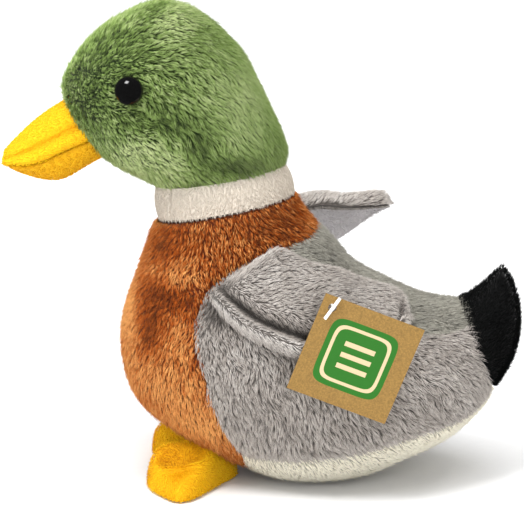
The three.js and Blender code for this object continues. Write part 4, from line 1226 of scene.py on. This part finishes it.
class PLUSH_OT_feet(PlushOperator):
    """The feet: padded webs of yellow velour, dimpled in the middle, each on its sole"""
    bl_idname = "plush.feet"
    bl_label = "Feet"

    def execute(self, context):
        share, around = grid(44, 120)
        share = np.sin(math.pi / 2 * share)
        rim = foot_rim(around)
        xy = FOOT_CENTRE + (rim - FOOT_CENTRE) * (share * 0.98)[..., None]
        x, y = xy[..., 0], xy[..., 1]
        # An inner roll of 18 mm falls to a trough, and the outer roll beyond it is lower towards the toes.
        inner = 18.0
        outer = 7.8 + 5.4 * eased(np.clip((y + 50) / 17, 0, 1)) + 1.2 * bell(y, -56, 3.0)
        tall = inner + (outer - inner) * eased(np.clip((x - 19) / 14, 0, 1))
        trough = bell(x, 23.5, 4.0) * bell(y, np.clip(y, -53, -42), 4.5)
        rise = (tall - 0.9 - 6.6 * trough) * np.sqrt(np.clip(1 - share ** 3.6, 0, 1))
        top = at_height(xy, 0.9 + rise)
        low = at_height(FOOT_CENTRE + 0.97 * (xy - FOOT_CENTRE), 0.75)
        # The sole is a little smaller and needs few rings.
        flat = (FOOT_CENTRE + 0.9 * (xy - FOOT_CENTRE))[[0, 8, 16, 24, 32, 43]]
        sole_up, sole_down = at_height(flat, 0.7), at_height(flat, 0.12)
        # Painted light lifts the rolls, and more of the foot towards the rear under the body; the toes are
        # lighter. Painted shade darkens the face between the rolls, most in its hollow, and the edge by the
        # floor.
        rolls = np.maximum(np.clip((x - 26 + 0.85 * np.clip(y + 47, 0, 20)) / 7, 0, 1),
                           np.clip((19 - x) / 3, 0, 1))
        hollow = bell(x, 22.5, 3.0) * bell(y, -51.5, 3.5)
        shade = 0.27 + 0.7 * rolls + 0.2 * bell(y, -58, 4.0) - 0.14 * hollow - 0.2 * share ** 8
        core = top - normals_of(top)
        core[..., 2] = np.maximum(core[..., 2], 0.8)

        def nap(p):
            """Outward from the foot's middle, and down."""
            return unit(at_height(p[:, :2] - FOOT_CENTRE, 0.0)) + (0, 0, -0.3)

        for seed, side in enumerate(PAIR):
            web, sole = Form(), Form()
            web.sheet(core, tone=0.5)
            web.sheet(low, -1, tone=0.4, bottom=STRIP, high=STRIP / 2)
            web.sheet(np.concatenate([core[-1:], low[-1:]]), tone=0.4, bottom=1.5 * STRIP, high=STRIP / 2)
            grow(web, core, 1, nap, 907 + seed, height=1.2, reach=1.4, width=0.28, density=4.7, rough=0.35,
                 clump=False, tone=shade, length_share=1 - 0.3 * trough)
            sole.sheet(sole_up, tone=0.4)
            sole.sheet(sole_down, -1, tone=0.4, bottom=STRIP)
            sole.sheet(np.concatenate([sole_up[-1:], sole_down[-1:]]), tone=0.4, bottom=2 * STRIP)
            if side == "right":
                web.moved(mirrored)
                sole.moved(mirrored)
            settle(web.build("foot_velour_" + side, "amber", "amber"), "foot_" + side, "yellow_pile",
                   f"foot_{side}_upper", fill=0.75)
            settle(sole.build("foot_sole_" + side, "orange"), "foot_" + side, "orange_pile",
                   f"foot_{side}_sole", fill=0.4)
        return {"FINISHED"}


class PLUSH_OT_stuffing(PlushOperator):
    """The stuffing of head and body, and the bag of pellets low in the body"""
    bl_idname = "plush.stuffing"
    bl_label = "Stuffing"

    def execute(self, context):
        u, v = grid(48, 72)
        turn = 2 * math.pi * v
        for name, low, high in (("head", 0.35, 8.2), ("body", 0.3, 12.6)):
            outward = SLEEVES[name][2]
            wad = surface(name, low + (high - low) * u, turn, -5.2)
            wad = wad + 0.5 * noise(wad, 9.0, 31)[..., None] * normals_of(wad, outward)
            wad[:, -1] = wad[:, 0]
            wad[0], wad[-1] = wad[0].mean(0), wad[-1].mean(0)
            form = Form()
            form.sheet(wad, outward, high=1.0)
            settle(form.build(name + "_wad", "fill"), "body", "fibre_fill", name + "_stuffing", fill=0.9)
        # The bag is a squat egg with soft folds and a frill at its seam.
        swing = math.pi * u
        out = np.sin(swing) ** 0.75
        frill = 0.35 * bell(u, 0.5, 0.03) * np.sin(40 * turn)
        bag = np.stack([(20 * out + frill) * np.cos(turn), (23 * out + frill) * np.sin(turn),
                        11.1 - 7.5 * np.cos(swing) + 0.3 * out * np.sin(5 * turn)], -1)
        bag[:, -1] = bag[:, 0]
        form = Form()
        form.sheet(bag, -1, high=1.0)
        settle(form.build("pellet_pouch", "calico"), "body", "bag_cloth", "pellet_bag", fill=0.5)
        return {"FINISHED"}


class PLUSH_OT_tag(PlushOperator):
    """The hang tag and its fastener, kept as the CAD has them and finished"""
    bl_idname = "plush.tag"
    bl_label = "Tag"

    def execute(self, context):
        frame["nodes"]["tag_card"].data.materials[0] = finish("kraft")
        frame["nodes"]["tag_fastener"].data.materials[0] = finish("nylon")
        return {"FINISHED"}


# Stage, in metres and watts

# The photograph's lens, as pixels of focal length and of frame width, and its millimetres of film
FOCAL_PIXELS, FRAME_PIXELS, FILM = 2432, 524, 36.0
CAMERA_TILT, CAMERA_AWAY, CAMERA_TARGET = 11.0, 0.9, (0.0, -0.018, 0.0799)
LIGHT_TARGET = (0.0, -0.018, 0.08)
# Lamps: place, side of the square and power
LAMPS = {"key_box": ((1.9, -1.7, 4.3), 1.7, 178.0), "top_box": ((0.4, 0.5, 5.0), 4.5, 205.0),
         "fill_box": ((4.6, 1.0, 1.8), 3.0, 108.0), "front_box": ((2.2, -3.2, 0.6), 1.6, 44.0)}
# Half the floor's side, and how far it lies under the part
FLOOR_REACH, FLOOR_GAP = 6.0, 0.0002
# Light of the sky on the part, in the picture and in mirrors
SKY_LIGHT, SKY_SEEN, SKY_MIRRORED = 0.55, 1.0, 0.12


def stand(name, data, place, target):
    """An object at a place, with its -Z turned towards a target."""
    item = bpy.data.objects.new(name, data)
    bpy.context.scene.collection.objects.link(item)
    item.location = place
    item.rotation_mode = "QUATERNION"
    item.rotation_quaternion = (Vector(target) - item.location).to_track_quat("-Z", "Y")
    return item


class PLUSH_OT_stage(PlushOperator):
    """The pale floor, the soft lights and the camera at the photograph's angle"""
    bl_idname = "plush.stage"
    bl_label = "Stage"

    def execute(self, context):
        scene = bpy.context.scene
        scene.view_settings.view_transform = "Standard"
        floor = bpy.data.meshes.new("studio_floor")
        corners = [(x * FLOOR_REACH, y * FLOOR_REACH, 0) for x, y in ((-1, -1), (1, -1), (1, 1), (-1, 1))]
        floor.from_pydata(corners, [], [(0, 1, 2, 3)])
        floor.materials.append(finish("floor"))
        item = bpy.data.objects.new("studio_floor", floor)
        scene.collection.objects.link(item)
        item.location.z = -FLOOR_GAP
        item.visible_glossy = False
        world = bpy.data.worlds.new("studio_air")
        world.use_nodes = True
        world.node_tree.nodes.clear()
        add = partial(node, world.node_tree)
        # The sky is white where it is seen, plain as light, and faint where it is mirrored.
        lit = add("MapRange", {"Value": add("LightPath", output="Is Camera Ray"), "To Min": SKY_LIGHT,
                               "To Max": SKY_SEEN})
        strength = add("MapRange", {"Value": add("LightPath", output="Is Glossy Ray"), "To Min": lit,
                                    "To Max": SKY_MIRRORED})
        sky = add("Background", {"Color": (1, 1, 1, 1), "Strength": strength})
        add("OutputWorld", {"Surface": sky})
        scene.world = world
        for name, (place, size, power) in LAMPS.items():
            lamp = bpy.data.lights.new(name, "AREA")
            lamp.shape, lamp.size, lamp.energy = "SQUARE", size, power
            # The eye mirrors the key light alone.
            stand(name, lamp, place, LIGHT_TARGET).visible_glossy = name == "key_box"
        lens = bpy.data.cameras.new("photo_camera")
        lens.sensor_width, lens.lens = FILM, FILM * FOCAL_PIXELS / FRAME_PIXELS
        lens.clip_start, lens.clip_end = 0.05, 20
        tilt = math.radians(CAMERA_TILT)
        away = CAMERA_AWAY * np.array((math.cos(tilt), 0, math.sin(tilt)))
        scene.camera = stand("photo_camera", lens, np.array(CAMERA_TARGET) + away, CAMERA_TARGET)
        return {"FINISHED"}


# Add-on

OPERATORS = (PLUSH_OT_stage, PLUSH_OT_stuffing, PLUSH_OT_head, PLUSH_OT_eyes, PLUSH_OT_bill, PLUSH_OT_collar,
             PLUSH_OT_breast, PLUSH_OT_sides, PLUSH_OT_back, PLUSH_OT_belly, PLUSH_OT_tail, PLUSH_OT_wings,
             PLUSH_OT_feet, PLUSH_OT_tag)


class PLUSH_PT_panel(bpy.types.Panel):
    """Lists the pieces and the settings"""
    bl_idname = "PLUSH_PT_panel"
    bl_label = "Plush Mallard"
    bl_space_type = "VIEW_3D"
    bl_region_type = "UI"
    bl_category = "Plush"

    def draw(self, context):
        for operator in OPERATORS:
            self.layout.operator(operator.bl_idname)
        for name, group in SETTINGS.items():
            for key in group.__annotations__:
                self.layout.prop(getattr(context.scene, name), key)


CLASSES = (*SETTINGS.values(), *OPERATORS, PLUSH_PT_panel)


def register():
    for made in CLASSES:
        bpy.utils.register_class(made)
    for name, group in SETTINGS.items():
        setattr(bpy.types.Scene, name, bpy.props.PointerProperty(type=group))


def unregister():
    for name in SETTINGS:
        delattr(bpy.types.Scene, name)
    for made in reversed(CLASSES):
        bpy.utils.unregister_class(made)


def main():
    register()
    for operator in OPERATORS:
        group, call = operator.bl_idname.split(".")
        if getattr(getattr(bpy.ops, group), call)() != {"FINISHED"}:
            raise RuntimeError(operator.bl_label + " was not made")


if __name__ == "__main__":
    main()
